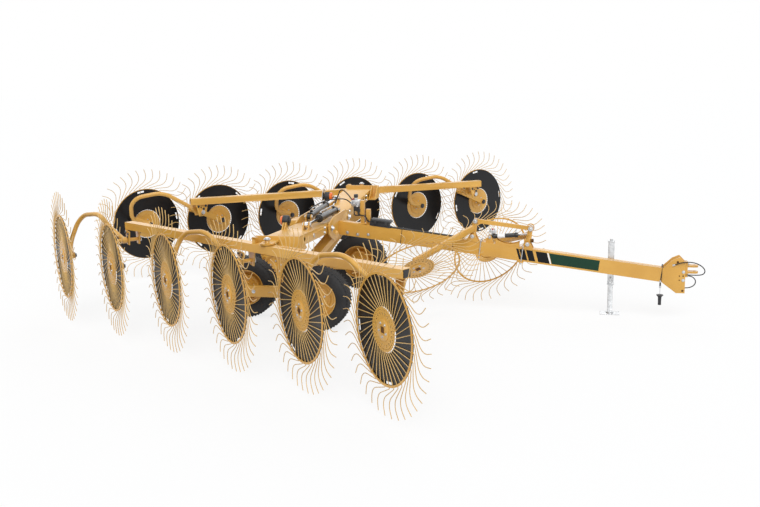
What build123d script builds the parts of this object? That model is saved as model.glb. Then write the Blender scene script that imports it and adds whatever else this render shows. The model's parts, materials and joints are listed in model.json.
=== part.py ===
from build123d import *
from math import cos, radians, sin, tan
import os

# A trailed V rake: twelve guarded rake wheels on two side beams, two centre wheels, a tandem carriage
# and a tongue. Axes: X forward to the hitch, Y to the machine's left, Z up. The shapes are worked out with
# the ground at Z 0, and each is moved at the end so that the origin is the hitch pin. The left side mirrors
# the right one.

os.makedirs("parts", exist_ok=True)

# Clearances
SEAT_GAP = 0.3
PIN_GAP = 0.05
MOVE_GAP = 6.0

# Rake wheels. TINES is every second tine of the real forty.
TIP_R = 712.0
BEND_R = 585.0
RIM_R = 457.0
RIM_WIDTH = 20.0
RIM_THICK = 7.0
RIM_SIDES = 24
HUB_R = 178.0
HUB_THICK = 11.0
TINES = 20
TINE_SIDE = 9.0
TINE_ROOT_R = 165.0
SPOKE_SWEEP = 22.0
BEND_SWEEP = 22.5
TIP_SWEEP = 18.5
BOSS_R = 46.0
BOSS_LENGTH = 62.0
BOSS_CAP = 24.0
SPINDLE_R = 20.0
GUARD_R = 450.0
GUARD_HOLE_R = 186.0
GUARD_THICK = 3.0
GUARD_SIDES = 24

# Rows of rake wheels: the right row's rear wheel, its run, and the angle of the wheels themselves
ROW_WHEELS = 6
ROW_X = -3091.0
ROW_Y = -1038.0
ROW_PITCH = 935.0
ROW_ANGLE = 29.5
WHEEL_ANGLE = 49.5
WHEEL_HEIGHT = 737.0

# Side beams, placed along the row and inward from it
BEAM_TAIL = 120.0
BEAM_NOSE = 102.0
BEAM_INSET = 514.0
BEAM_WIDTH = 100.0
BEAM_DEPTH = 80.0
BEAM_WALL = 6.0
BEAM_RISE = 367.0
BEAM_TOP = WHEEL_HEIGHT + BEAM_RISE
SWING_ALONG = 2780.0
STOP_ALONG = 2610.0
STOP_SIZE = 44.0
STOP_HEIGHT = 58.0
RAIL_ALONG = 3090.0
RAIL_LENGTH = 290.0
RAIL_WIDTH = 44.0
RAIL_THICK = 5.0
RAIL_HOLES = 5
RAIL_PITCH = 52.0
RAIL_HOLE_R = 13.0
PLUG_DEPTH = 30.0
PLUG_LIP = 6.0

# Hanging brackets and the wheel arms that they carry. NECK_OVER holds a gooseneck's corners by the beam, as
# forward and inward of its pin and up from the beam's top; NECK_DOWN holds those by the wheel, from its hub.
BRACKET_FIRST = 642.0
BRACKET_STEP = 2 * ROW_PITCH
BEAM_START = BRACKET_FIRST - BEAM_TAIL
BEAM_LENGTH = BEAM_TAIL + 2 * BRACKET_STEP + BEAM_NOSE
BRACKET_INSET = 478.0
BRACKET_DROP = 150.0
BRACKET_LENGTH = 170.0
BRACKET_SPREAD = 110.0
BRACKET_PLATE = 12.0
BRACKET_TAPER = 0.55
ARM_PIN_DROP = 98.0
ARM_PIN_R = 19.0
ARM_PIN_IN = 80.0
SLEEVE_R = 34.0
ARM_OFFSET = 96.0
ARM_DEPTH = 62.0
ARM_THICK = 24.0
NECK_R = 25.0
NECK_SEAT = 95.0
NECK_BEND = 0.45
NECK_OVER = ((-160.0, -100.0, -62.0), (-372.0, -169.0, 78.0))
NECK_DOWN = ((-313.0, 177.0, 389.0), (-254.0, 29.0, 83.0), (-20.0, 0.0, 0.0))
NECK_GUSSET = ((-215, 120), (-225, 60), (-20, -34), (10, -34), (34, 0), (20, 34), (-150, 110))
NECK_GUSSET_PLATE = 14.0

# Lift arms with their fore-and-aft pins, and the yokes that hold the side beams
LIFT_Y = 380.0
LIFT_Z = BEAM_TOP - 119.0
LIFT_TUBE_R = 45.0
LIFT_PIN_R = 24.0
LIFT_ARM_DEPTH = 106.0
LIFT_ARM_WALL = 9.0
LIFT_ARM_INSET = 6.0
SLOT_AT = (180.0, 330.0, 480.0)
SLOT_LENGTH = 84.0
SLOT_HEIGHT = 40.0
SEAT_AHEAD = 268.0
SEAT_GUSSET = 214.4
SEAT_LIP = 36.0
LAMP_LUG_Y = 950.0
LAMP_LUG_RISE = 96.0
LAMP_LUG_IN = 22.0
LAMP_LUG_SPACING = 24.0
YOKE_PLATE = 15.0
YOKE_R = 66.0
WEB_PLATE = 16.0
SWING_PIN_R = 24.0
SWING_PIN_HEAD = 34.0
SWING_WASHER_R = 44.0
SWING_SLEEVE = 9.0

# Lift cylinders, one behind the other across the carriage
LIFT_EYE_Y = 940.0
LIFT_EYE_Z = BEAM_TOP + 14.0
LIFT_BASE_Y = -260.0
LIFT_BASE_Z = BEAM_TOP - 19.0
LIFT_CYL_X = 88.0
EYE_R = 30.0
EYE_PIN_R = 14.0
EYE_WIDTH = 34.0
LUG_PLATE = 12.0
LUG_SPREAD = 2.6
LUG_SINK = 4.0
LUG_SPACING = EYE_WIDTH + 2 * MOVE_GAP + LUG_PLATE
PIN_END = 6.0
BARREL_R = 38.0
ROD_R = 17.0
LIFT_ROD_SHOWN = 470.0
LIFT_STROKE = 115.0
BORE_END = 10.0
PISTON_INSIDE = 160.0
EYE_SLACK = 6.5
CYL_NECK = 16.0

# Carriage
CHEEK_SPAN = 380.0
CHEEK_PLATE = 16.0
CHEEK_HALF = 450.0
CHEEK_END = 60.0
CHEEK_DROP = 175.0
CHEEK_RISE = 105.0
DECK_THICK = 16.0
PIN_OVERHANG = 20.0
LEG_TOP = (-235.0, 140.0, 905.0)
BOX_WIDTH = 210.0
BOX_DEPTH = 170.0
BOX_REAR = -780.0
LEG_SIZE = 100.0
LEG_INSET = 150.0
LEG_BOX = 100.0
LEG_BOX_RIM = 30.0

# Tandem walking beams and road wheels
TANDEM_X = -698.0
TANDEM_Y = 722.0
SPLAY_X = 470.0
SPLAY_Y = 215.0
TYRE_R = 336.0
TYRE_WIDTH = 205.0
SIDEWALL = 140.0
TYRE_SEAT_R = TYRE_R - SIDEWALL
WALK_DEPTH = 120.0
WALK_THICK = 60.0
STUB_R = 36.0
WALK_CAP = 24.0
WALK_END = 60.0
WALK_SLEEVE = 16.0
WALK_SLEEVE_HALF = 45.0
AXLE_END = 40.0
ROAD_HUB_BACK = 50.0
ROAD_HUB_LENGTH = 108.0
ROAD_HUB_R = 52.0
ROAD_RIM_WALL = 8.0
AXLE_BORE = 102.0

# Tongue, hitch and jack
TONGUE_WIDTH = 102.0
TONGUE_DEPTH = 152.0
TONGUE_WALL = 6.0
TONGUE_FRONT = 3330.0
TONGUE_FRONT_Z = 478.0
TONGUE_SLOPE = 7.27
HITCH_X = 3640.0
HITCH_Z = 545.0
HITCH_PIN_R = 16.5
HITCH_CHEEK = 14.0
HITCH_REACH = 215.0
HITCH_RISE = 205.0
HITCH_DROP = 187.0
HITCH_LAP = 20.0
HITCH_SHOULDER = 84.0
HITCH_CREST = 60.0
HITCH_CORNER = 62.0
HITCH_FOOT = 90.0
CLEVIS_PLATE = 20.0
CLEVIS_GAP = 46.0
CLEVIS_WIDTH = 76.0
CLEVIS_PAD = 22.0
CLEVIS_PAD_WIDE = 110.0
CLEVIS_PAD_HIGH = 160.0
JACK_X = 2782.0
JACK_SIZE = 64.0
JACK_WALL = 5.0
JACK_TOP = 806.0
JACK_LOW = 330.0
JACK_LAP = 150.0
JACK_PLATE = 14.0
JACK_PLATE_WIDE = 140.0
JACK_PLATE_HIGH = 120.0
FOOT_LENGTH = 210.0
FOOT_WIDTH = 130.0
FOOT_THICK = 10.0

# Tool box on the tongue
BOX_AT = 140.0
BOX_LENGTH = 215.0
BOX_HEIGHT = 70.0

# Centre wheels and their parallel linkage above the tongue
KICK_X = 1290.0
KICK_RISE = 124.0
KICK_STEP = 600.0
TOWER_LEAN = 30.0
TOWER_RISE = 165.0
TOWER_HALF = 24.0
TOWER_CREST = 22.0
KICK_REACH = (-493.0, -727.0, -224.0)
KICK_NORMAL = (-0.338, 0.644, 0.686)
KICK_TUBE_R = 32.0
KICK_PIN_R = 16.0
KICK_ARM_WIDTH = 62.0
KICK_ARM_THICK = 40.0
LINK_WIDTH = 44.0
LINK_THICK = 26.0
RAM_X = 1478.0
RAM_RISE = 62.0
RAM_R = 24.0
RAM_ROD_R = 10.0
RAM_PIN_R = 9.0
RAM_EYE_R = 18.0
RAM_SLACK = 3.0
LINK_PIN_R = 12.0
RAM_EYE_LEAN = 16.0
RAM_EYE_RISE = 100.0
RAM_ROD_SHOWN = 130.0
RAM_STROKE = 50.0
RAM_LUG_Y = 26.0
RAM_LUG_PLATE = 10.0
RAM_LUG_FOOT = 50.0
RAM_LUG_SINK = 8.0
RAM_LUG_DIP = 6.0
RAM_LUG_TOP = 16.0
RAM_LUG_CREST = 18.0
BEARING_HALF = 46.0
BEARING_PLATE = 12.0
BEARING_FOOT = 70.0
BEARING_DIP = 20.0
BEARING_TOP = 26.0
BEARING_CREST = 24.0
BEARING_PIN_END = 4.0
BAR_RISE = 88.0
BAR_BACK = 6.0


def facing(origin, along, across):
    """A plane whose Z runs one way and whose X is as near to another way as it can be."""
    along = Vector(along).normalized()
    across = Vector(across)
    across = across - along * across.dot(along)
    return Plane(origin=origin, x_dir=across.normalized(), z_dir=along)


def rod(start, end, radius):
    run = Vector(end) - Vector(start)
    across = (0, 0, 1) if abs(run.normalized().Z) < 0.9 else (1, 0, 0)
    return facing(start, run, across) * extrude(Circle(radius), run.length)


def bar(start, end, width, depth, up=(0, 0, 1), wall=0):
    """A bar or box tube from one point to another, with its depth towards up."""
    run = Vector(end) - Vector(start)
    section = Rectangle(depth, width)
    if wall:
        section -= Rectangle(depth - 2 * wall, width - 2 * wall)
    return facing(start, run, up) * extrude(section, run.length)


def block(x0, x1, y0, y1, z0, z1):
    return Pos((x0 + x1) / 2, (y0 + y1) / 2, (z0 + z1) / 2) * Box(x1 - x0, y1 - y0, z1 - z0)


def plate(origin, normal, across, outline, thick):
    """A plate centred on its plane, cut to an outline of (across, up) points."""
    face = make_face(Polyline(*outline, close=True))
    return facing(origin, normal, across) * extrude(face, thick / 2, both=True)


def polar(radius, angle):
    return (radius * cos(radians(angle)), radius * sin(radians(angle)))


def left_of(shape):
    return mirror(shape, about=Plane.XZ)


def save(name, *pieces):
    solids = [Pos(-HITCH_X, 0, -HITCH_Z) * solid for piece in pieces for solid in piece.solids()]
    export_step(Compound(children=solids), f"parts/{name}.step")


# The right row's own frame: X along the row, Y inward from it
row = Plane(
    origin=(ROW_X, ROW_Y, 0),
    x_dir=(cos(radians(ROW_ANGLE)), -sin(radians(ROW_ANGLE)), 0),
    z_dir=(0, 0, 1),
)
WHEEL_FORWARD = Vector(cos(radians(WHEEL_ANGLE)), -sin(radians(WHEEL_ANGLE)), 0)
WHEEL_OUTWARD = Vector(-sin(radians(WHEEL_ANGLE)), -cos(radians(WHEEL_ANGLE)), 0)


def in_row(along, inward, height):
    return row.from_local_coords(Vector(along, inward, height))


def beside_wheel(along, forward, inward, height):
    """A point measured from the rake wheel at one place in the row, in the wheel's own directions."""
    return in_row(along, 0, height) + WHEEL_FORWARD * forward - WHEEL_OUTWARD * inward


# Rake wheel, lying on XY with its outer face up
def tine():
    points = [
        polar(TINE_ROOT_R, -SPOKE_SWEEP),
        polar(RIM_R - RIM_WIDTH / 2, 0),
        polar(BEND_R, -BEND_SWEEP),
        polar(TIP_R, -TIP_SWEEP),
    ]
    path = Polyline(*[(x, y, 0) for x, y in points])
    half = TINE_SIDE / 2
    section = make_face(Polyline((-half, -half), (-half, half), (half * 0.73, 0), close=True))
    start = Plane(origin=path @ 0, x_dir=(0, 0, 1), z_dir=path % 0)
    return sweep(start * section, path, transition=Transition.RIGHT)


def make_wheel():
    disc = Rot(0, 0, -SPOKE_SWEEP) * extrude(RegularPolygon(HUB_R, TINES), HUB_THICK / 2, both=True)
    boss = Pos(0, 0, -BOSS_LENGTH) * extrude(Circle(BOSS_R), BOSS_LENGTH + BOSS_CAP)
    bore = Pos(0, 0, -BOSS_LENGTH - 1) * extrude(Circle(SPINDLE_R + PIN_GAP), BOSS_LENGTH + 2)
    one = tine()
    hub = disc.fuse(boss, *[Rot(0, 0, 360 / TINES * k) * one for k in range(TINES)]) - bore
    band = RegularPolygon(RIM_R, RIM_SIDES) - RegularPolygon(RIM_R - RIM_WIDTH, RIM_SIDES)
    rim = Pos(0, 0, TINE_SIDE * 0.365 + SEAT_GAP) * extrude(band, RIM_THICK)
    return Compound(children=[hub.solid(), rim.solid()])


def make_guard():
    sheet = RegularPolygon(GUARD_R, GUARD_SIDES) - RegularPolygon(GUARD_HOLE_R, GUARD_SIDES)
    return Pos(0, 0, -TINE_SIDE / 2 - SEAT_GAP - GUARD_THICK) * extrude(sheet, GUARD_THICK)


wheel = make_wheel()
guard = make_guard()
for number in range(1, ROW_WHEELS + 1):
    centre = in_row((number - 1) * ROW_PITCH, 0, WHEEL_HEIGHT)
    place = Plane(origin=centre, x_dir=WHEEL_FORWARD, z_dir=WHEEL_OUTWARD)
    for kind, shape in (("wheel", wheel), ("guard", guard)):
        placed = place.location * shape
        save(f"right_{kind}_{number}", placed)
        save(f"left_{kind}_{number}", left_of(placed))

# Side beam: box tube, end plug, hanging brackets with their arm pins, and the swing sleeve
beam_z = BEAM_TOP - BEAM_DEPTH / 2
arm_pin_z = BEAM_TOP - BEAM_DEPTH - ARM_PIN_DROP
swing = in_row(SWING_ALONG, BEAM_INSET, 0)
carriage_x = swing.X


def bracket_point(index, outward, height):
    """A point on one bracket's arm pin, measured outward from the bracket's middle."""
    middle = in_row(BRACKET_FIRST + index * BRACKET_STEP, BRACKET_INSET, height)
    return middle + WHEEL_OUTWARD * outward


def make_rail():
    """The flat rail on the beam's inner top edge, with its row of setting holes."""
    inward = BEAM_INSET + BEAM_WIDTH / 2 - RAIL_WIDTH / 2
    rail = Box(RAIL_LENGTH, RAIL_WIDTH, RAIL_THICK)
    rail -= GridLocations(RAIL_PITCH, 0, RAIL_HOLES, 1) * Cylinder(RAIL_HOLE_R, RAIL_THICK)
    centre = in_row(RAIL_ALONG, inward, BEAM_TOP + RAIL_THICK / 2)
    return Plane(origin=centre, x_dir=row.x_dir, z_dir=(0, 0, 1)).location * rail


def make_beam():
    start = in_row(BEAM_START, BEAM_INSET, beam_z)
    end = in_row(BEAM_START + BEAM_LENGTH, BEAM_INSET, beam_z)
    beam = bar(start, end, BEAM_WIDTH, BEAM_DEPTH, wall=BEAM_WALL)
    under = BEAM_TOP - BEAM_DEPTH
    for index in range(3):
        for side in (-1, 1):
            centre = bracket_point(index, side * BRACKET_SPREAD / 2, 0)
            half = BRACKET_LENGTH / 2
            outline = [
                (-half, under),
                (-half * BRACKET_TAPER, under - BRACKET_DROP),
                (half * BRACKET_TAPER, under - BRACKET_DROP),
                (half, under),
            ]
            beam += plate(centre, WHEEL_OUTWARD, WHEEL_FORWARD, outline, BRACKET_PLATE)
        pin_outer = bracket_point(index, pin_reach + ARM_THICK / 2, arm_pin_z)
        beam += rod(pin_outer, bracket_point(index, -ARM_PIN_IN, arm_pin_z), ARM_PIN_R)
    stop = in_row(STOP_ALONG, BEAM_INSET, BEAM_TOP)
    beam += bar(stop, stop + Vector(0, 0, STOP_HEIGHT), STOP_SIZE, STOP_SIZE, up=row.x_dir)
    beam += make_rail()
    top = swing + Vector(0, 0, BEAM_TOP)
    bottom = swing + Vector(0, 0, BEAM_TOP - BEAM_DEPTH)
    sleeve = rod(bottom, top, SWING_PIN_R + SWING_SLEEVE)
    hole = rod(bottom - Vector(0, 0, 1), top + Vector(0, 0, 1), SWING_PIN_R + PIN_GAP)
    return beam + sleeve - hole


# The straight arm's plane, measured outward from the bracket's middle
front_centre = in_row(ROW_PITCH, 0, 0)
pin_reach = (front_centre - bracket_point(0, 0, 0)).dot(WHEEL_OUTWARD) - ARM_OFFSET
rear_centre = in_row(0, 0, 0)
rear_forward = (bracket_point(0, 0, 0) - rear_centre).dot(WHEEL_FORWARD)
rear_inward = (rear_centre - bracket_point(0, 0, 0)).dot(WHEEL_OUTWARD)


def spindle(along):
    """Hub spindle and its seat at the end of a wheel arm."""
    base = beside_wheel(along, 0, ARM_OFFSET + ARM_THICK, WHEEL_HEIGHT)
    collar = beside_wheel(along, 0, BOSS_LENGTH + MOVE_GAP, WHEEL_HEIGHT)
    bore_end = beside_wheel(along, 0, 1, WHEEL_HEIGHT)
    return rod(base, collar, SLEEVE_R) + rod(collar, bore_end, SPINDLE_R)


def make_straight_arm(index):
    along = index * BRACKET_STEP + ROW_PITCH
    knee = bracket_point(index, pin_reach, arm_pin_z)
    hub = beside_wheel(along, 0, ARM_OFFSET, WHEEL_HEIGHT)
    arm = bar(knee, hub, ARM_THICK, ARM_DEPTH)
    half = WHEEL_OUTWARD * ARM_THICK
    arm += rod(knee - half, knee + half, SLEEVE_R)
    hole = rod(knee - half * 2, knee + half * 2, ARM_PIN_R + SEAT_GAP)
    return arm + spindle(along) - hole


def bend_radii(points):
    """One radius for each corner, as large as its two runs allow."""
    radii = []
    for before, corner, after in zip(points, points[1:], points[2:]):
        into, out = corner - before, after - corner
        half_turn = radians(into.get_angle(out)) / 2
        radii.append(NECK_BEND * min(into.length, out.length) / tan(half_turn))
    return radii


def make_gooseneck(index):
    along = index * BRACKET_STEP
    pin = (rear_forward, rear_inward - NECK_SEAT, arm_pin_z)
    over = [(pin[0] + forward, pin[1] + inward, BEAM_TOP + up) for forward, inward, up in NECK_OVER]
    down = [(forward, ARM_OFFSET + inward, WHEEL_HEIGHT + up) for forward, inward, up in NECK_DOWN]
    route = [pin] + over + down
    points = [beside_wheel(along, *place) for place in route]
    path = FilletPolyline(*points, radius=bend_radii(points))
    start = facing(path @ 0, path % 0, (0, 0, 1))
    neck = sweep(start * Circle(NECK_R), path)
    base, half = points[0], WHEEL_OUTWARD * ARM_THICK
    neck += rod(base - half, base + half, SLEEVE_R)
    centre = beside_wheel(along, 0, ARM_OFFSET, WHEEL_HEIGHT)
    neck += plate(centre, WHEEL_OUTWARD, WHEEL_FORWARD, NECK_GUSSET, NECK_GUSSET_PLATE)
    hole = rod(base - half * 2, base + half * 2, ARM_PIN_R + SEAT_GAP)
    return neck + spindle(along) - hole


beam = make_beam()
plug_start = in_row(BEAM_START + BEAM_LENGTH - PLUG_DEPTH, BEAM_INSET, beam_z)
plug_end = in_row(BEAM_START + BEAM_LENGTH + PLUG_LIP, BEAM_INSET, beam_z)
plug_inside = 2 * (BEAM_WALL + SEAT_GAP)
plug = bar(plug_start, plug_end, BEAM_WIDTH - plug_inside, BEAM_DEPTH - plug_inside)
arms = [make_straight_arm(index) for index in range(3)]
necks = [make_gooseneck(index) for index in range(3)]
for side, flip in (("right", lambda shape: shape), ("left", left_of)):
    save(f"{side}_beam", flip(beam))
    save(f"{side}_beam_plug", flip(plug))
    save(f"{side}_wheel_arms", *[flip(arm) for arm in arms + necks])


# Lift arm: hinge tube along the machine, box arm, beam yoke and the cylinder's lug
arm_mid_z = BEAM_TOP - BEAM_DEPTH / 2
hinge_half = CHEEK_SPAN / 2 - CHEEK_PLATE / 2 - MOVE_GAP
arm_half = hinge_half - LIFT_ARM_INSET
beam_reach = BEAM_WIDTH / 2 / cos(radians(ROW_ANGLE)) + arm_half * tan(radians(ROW_ANGLE))
yoke_reach = beam_reach + MOVE_GAP + WEB_PLATE / 2
tongue_rear = carriage_x + CHEEK_SPAN / 2 + CHEEK_PLATE / 2
seat_y = swing.Y + yoke_reach
seat_run = -LIFT_Y - seat_y
arm_fall = (arm_mid_z - LIFT_Z) / seat_run


def arm_height(y):
    """The height of the lift arm's middle line, a distance out from the machine's middle."""
    return LIFT_Z + (y - LIFT_Y) * arm_fall


def upright_lugs(place, spacing, half, feet, side=1):
    """A pair of upright plates, from two feet each to a blunt top about the place, mirrored by the side."""
    x, y, z = place
    top = z + EYE_R * 0.9
    outline = [feet[0], (half, z), (EYE_R / 2, top), (-EYE_R / 2, top), (-half, z), feet[1]]
    outline = [(side * out, up) for out, up in outline]
    pair = [plate((x + end * spacing / 2, y, 0), (1, 0, 0), (0, 1, 0), outline, LUG_PLATE) for end in (-1, 1)]
    return pair[0] + pair[1]


def make_seat():
    """The wide plate that faces the beam, stiffened behind, and the yoke that holds the swing pin."""
    low = BEAM_TOP - BEAM_DEPTH - MOVE_GAP - YOKE_PLATE
    high = BEAM_TOP + MOVE_GAP
    top = high + YOKE_PLATE + SEAT_LIP
    inner, outer = seat_y - WEB_PLATE / 2, seat_y + WEB_PLATE / 2
    front, ahead = carriage_x + arm_half, swing.X + SEAT_AHEAD
    seat = block(swing.X - arm_half, ahead, inner, outer, low, top)
    seat += block(front - LIFT_ARM_WALL, ahead, inner, outer + SEAT_GUSSET, low, low + LUG_PLATE)
    gusset = [(0, low), (0, top), (YOKE_PLATE * 2, top), (SEAT_GUSSET, low + YOKE_PLATE), (SEAT_GUSSET, low)]
    for x in (front + YOKE_PLATE, ahead - YOKE_PLATE / 2):
        seat += plate((x, outer - 1, 0), (1, 0, 0), (0, 1, 0), gusset, LUG_PLATE)
    foot = Vector(swing.X, swing.Y, low)
    for base in (low, high):
        seat += block(swing.X - YOKE_R, swing.X + YOKE_R, swing.Y, seat_y, base, base + YOKE_PLATE)
        end = Vector(swing.X, swing.Y, base)
        seat += rod(end, end + Vector(0, 0, YOKE_PLATE), YOKE_R)
    seat += rod(foot, (swing.X, swing.Y, high + YOKE_PLATE + SWING_PIN_HEAD), SWING_PIN_R)
    washer = foot + Vector(0, 0, YOKE_PLATE)
    return seat + rod(washer, washer + Vector(0, 0, MOVE_GAP - SEAT_GAP), SWING_WASHER_R)


def make_lift_arm(cylinder_x):
    hinge = Vector(carriage_x, -LIFT_Y, LIFT_Z)
    half = Vector(hinge_half, 0, 0)
    end = Vector(carriage_x, seat_y, arm_mid_z)
    arm = rod(hinge - half, hinge + half, LIFT_TUBE_R)
    arm += bar(hinge, end, 2 * arm_half, LIFT_ARM_DEPTH, wall=LIFT_ARM_WALL)
    for back in SLOT_AT:
        y = seat_y + back
        slot = facing((carriage_x + arm_half, y, arm_height(-y)), (1, 0, 0), (0, 1, 0))
        arm -= slot * extrude(SlotOverall(SLOT_LENGTH, SLOT_HEIGHT), 2 * LIFT_ARM_WALL, both=True)
    arm += make_seat()
    eye = Vector(cylinder_x, -LIFT_EYE_Y, LIFT_EYE_Z)
    lamp_z = arm_height(LAMP_LUG_Y) + LAMP_LUG_RISE
    lamp = Vector(carriage_x - arm_half + LAMP_LUG_IN, -LAMP_LUG_Y, lamp_z)
    for place, spacing in ((eye, LUG_SPACING), (lamp, LAMP_LUG_SPACING)):
        foot = arm_height(-place.Y) + LIFT_ARM_DEPTH / 2 - LUG_SINK
        feet = [(EYE_R * LUG_SPREAD, foot - 2 * LUG_SINK), (-EYE_R * LUG_SPREAD, foot)]
        arm += upright_lugs(place, spacing, EYE_R, feet)
    pin = Vector(LUG_SPACING / 2 + LUG_PLATE / 2 + PIN_END, 0, 0)
    arm += rod(eye - pin, eye + pin, EYE_PIN_R)
    return arm - rod(hinge - half * 1.1, hinge + half * 1.1, LIFT_PIN_R + PIN_GAP)


def make_cylinder(
    base, eye, side, radius, rod_radius, pin_radius, slack, eye_radius, eye_width, shown, stroke
):
    """Barrel and rod of a cylinder: the rod shows by one length, and draws in by the stroke at most."""
    base, eye, side = Vector(base), Vector(eye), Vector(side)
    line = (eye - base).normalized()
    head = eye - line * shown
    half = side * (eye_width / 2)
    inside = min(PISTON_INSIDE, shown)
    neck_end = base + line * (eye_radius + CYL_NECK)
    barrel = rod(neck_end, head, radius) + bar(base, neck_end, eye_width, eye_radius * 1.2)
    barrel += rod(base - half, base + half, eye_radius)
    barrel -= rod(base - half * 2, base + half * 2, pin_radius + PIN_GAP)
    barrel -= rod(head - line * (inside + stroke + BORE_END), head + line, rod_radius + PIN_GAP)
    piston = rod(head - line * inside, eye, rod_radius) + rod(eye - half, eye + half, eye_radius)
    return barrel, piston - rod(eye - half * 2, eye + half * 2, pin_radius + slack)


lift_eye = (carriage_x + LIFT_CYL_X, -LIFT_EYE_Y, LIFT_EYE_Z)
lift_base = (carriage_x + LIFT_CYL_X, -LIFT_BASE_Y, LIFT_BASE_Z)
barrel, piston = make_cylinder(
    lift_base,
    lift_eye,
    (1, 0, 0),
    BARREL_R,
    ROD_R,
    EYE_PIN_R,
    EYE_SLACK,
    EYE_R,
    EYE_WIDTH,
    LIFT_ROD_SHOWN,
    LIFT_STROKE,
)
half_turn = Pos(2 * carriage_x, 0, 0) * Rot(0, 0, 180)
save("right_lift_arm", make_lift_arm(carriage_x + LIFT_CYL_X))
save("right_lift_barrel", barrel)
save("right_lift_rod", piston)
save("left_lift_arm", left_of(make_lift_arm(carriage_x - LIFT_CYL_X)))
save("left_lift_barrel", half_turn * barrel)
save("left_lift_rod", half_turn * piston)


# Carriage: centre box, two cheeks across it, hinge pins, cylinder bases and splayed legs
def tongue_z(x):
    return TONGUE_FRONT_Z + (TONGUE_FRONT - x) * tan(radians(TONGUE_SLOPE))


def make_carriage():
    box_z = tongue_z(tongue_rear)
    rear = carriage_x - CHEEK_SPAN / 2
    front = carriage_x + CHEEK_SPAN / 2
    box_low, deck_top = box_z - BOX_DEPTH / 2, box_z + BOX_DEPTH / 2
    frame = block(BOX_REAR, front, -BOX_WIDTH / 2, BOX_WIDTH / 2, box_low, deck_top)
    cheek = [
        (-CHEEK_HALF, LIFT_Z - CHEEK_END),
        (-CHEEK_HALF * 0.5, LIFT_Z - CHEEK_DROP),
        (CHEEK_HALF * 0.5, LIFT_Z - CHEEK_DROP),
        (CHEEK_HALF, LIFT_Z - CHEEK_END),
        (CHEEK_HALF, LIFT_Z + CHEEK_END),
        (CHEEK_HALF * 0.6, LIFT_Z + CHEEK_RISE),
        (-CHEEK_HALF * 0.6, LIFT_Z + CHEEK_RISE),
        (-CHEEK_HALF, LIFT_Z + CHEEK_END),
    ]
    for x in (rear, front):
        frame += plate((x, 0, 0), (1, 0, 0), (0, 1, 0), cheek, CHEEK_PLATE)
    for side in (-1, 1):
        pin = Vector(carriage_x, side * LIFT_Y, LIFT_Z)
        half = Vector(CHEEK_SPAN / 2 + PIN_OVERHANG, 0, 0)
        frame += rod(pin - half, pin + half, LIFT_PIN_R)
    deck_half = LIFT_Y - LIFT_TUBE_R - 2 * MOVE_GAP
    frame += block(rear, front, -deck_half, deck_half, deck_top - DECK_THICK, deck_top)
    for side in (-1, 1):
        base = Vector(carriage_x - side * LIFT_CYL_X, side * LIFT_BASE_Y, LIFT_BASE_Z)
        foot = deck_top - DECK_THICK / 2
        feet = [(2 * EYE_R, foot), (-0.7 * EYE_R, foot)]
        frame += upright_lugs(base, LUG_SPACING, 0.9 * EYE_R, feet, side)
        pin = Vector(LUG_SPACING / 2 + LUG_PLATE / 2 + PIN_END, 0, 0)
        frame += rod(base - pin, base + pin, EYE_PIN_R)
    for side in (-1, 1):
        shoulder = Vector(LEG_TOP[0], side * LEG_TOP[1], LEG_TOP[2])
        foot = Vector(TANDEM_X, side * (TANDEM_Y - LEG_INSET), TYRE_R)
        frame += bar(shoulder, foot, LEG_SIZE, LEG_SIZE, up=(1, 0, 0))
        inner = foot - Vector(0, side * LEG_BOX * 0.4, 0)
        outer = inner + Vector(0, side * LEG_BOX, 0)
        frame += bar(inner, outer, LEG_SIZE + LEG_BOX_RIM, LEG_SIZE + LEG_BOX_RIM)
        end = Vector(TANDEM_X, side * (TANDEM_Y + WALK_THICK / 2 + WALK_CAP), TYRE_R)
        frame += rod(outer, end, STUB_R)
    return frame


save("carriage", make_carriage())


# Walking beam of one side: rear wheel inboard of it, front wheel outboard
def make_walking_beam():
    rear = Vector(TANDEM_X - SPLAY_X, -TANDEM_Y, TYRE_R)
    front = Vector(TANDEM_X + SPLAY_X, -TANDEM_Y, TYRE_R)
    end = Vector(WALK_END, 0, 0)
    walk = bar(rear - end, front + end, WALK_THICK, WALK_DEPTH)
    for hub, side in ((rear, 1), (front, -1)):
        seat = hub + Vector(0, side * WALK_THICK / 2, 0)
        tip = hub + Vector(0, side * (SPLAY_Y + AXLE_END), 0)
        walk += rod(seat, tip, SPINDLE_R)
        walk += rod(seat, hub + Vector(0, side * (SPLAY_Y - ROAD_HUB_BACK - MOVE_GAP), 0), STUB_R)
    centre = Vector(TANDEM_X, -TANDEM_Y, TYRE_R)
    half = Vector(0, WALK_SLEEVE_HALF, 0)
    walk += rod(centre - half, centre + half, STUB_R + WALK_SLEEVE)
    return walk - rod(centre - half * 2, centre + half * 2, STUB_R + SEAT_GAP)


walking_beam = make_walking_beam()
save("walking_beams", walking_beam, left_of(walking_beam))


# Road wheel on its axis along Y: tyre, and a disc rim with its hub
def make_tyre():
    half = TYRE_WIDTH / 2
    section = make_face(
        Polyline(
            (TYRE_SEAT_R, -half * 0.72),
            (TYRE_SEAT_R + SIDEWALL * 0.21, -half * 0.92),
            (TYRE_SEAT_R + SIDEWALL * 0.57, -half),
            (TYRE_SEAT_R + SIDEWALL * 0.84, -half * 0.88),
            (TYRE_R, -half * 0.66),
            (TYRE_R, half * 0.66),
            (TYRE_SEAT_R + SIDEWALL * 0.84, half * 0.88),
            (TYRE_SEAT_R + SIDEWALL * 0.57, half),
            (TYRE_SEAT_R + SIDEWALL * 0.21, half * 0.92),
            (TYRE_SEAT_R, half * 0.72),
            close=True,
        )
    )
    return Rot(90, 0, 0) * revolve(Plane.XZ * section, Axis.Z)


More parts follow.
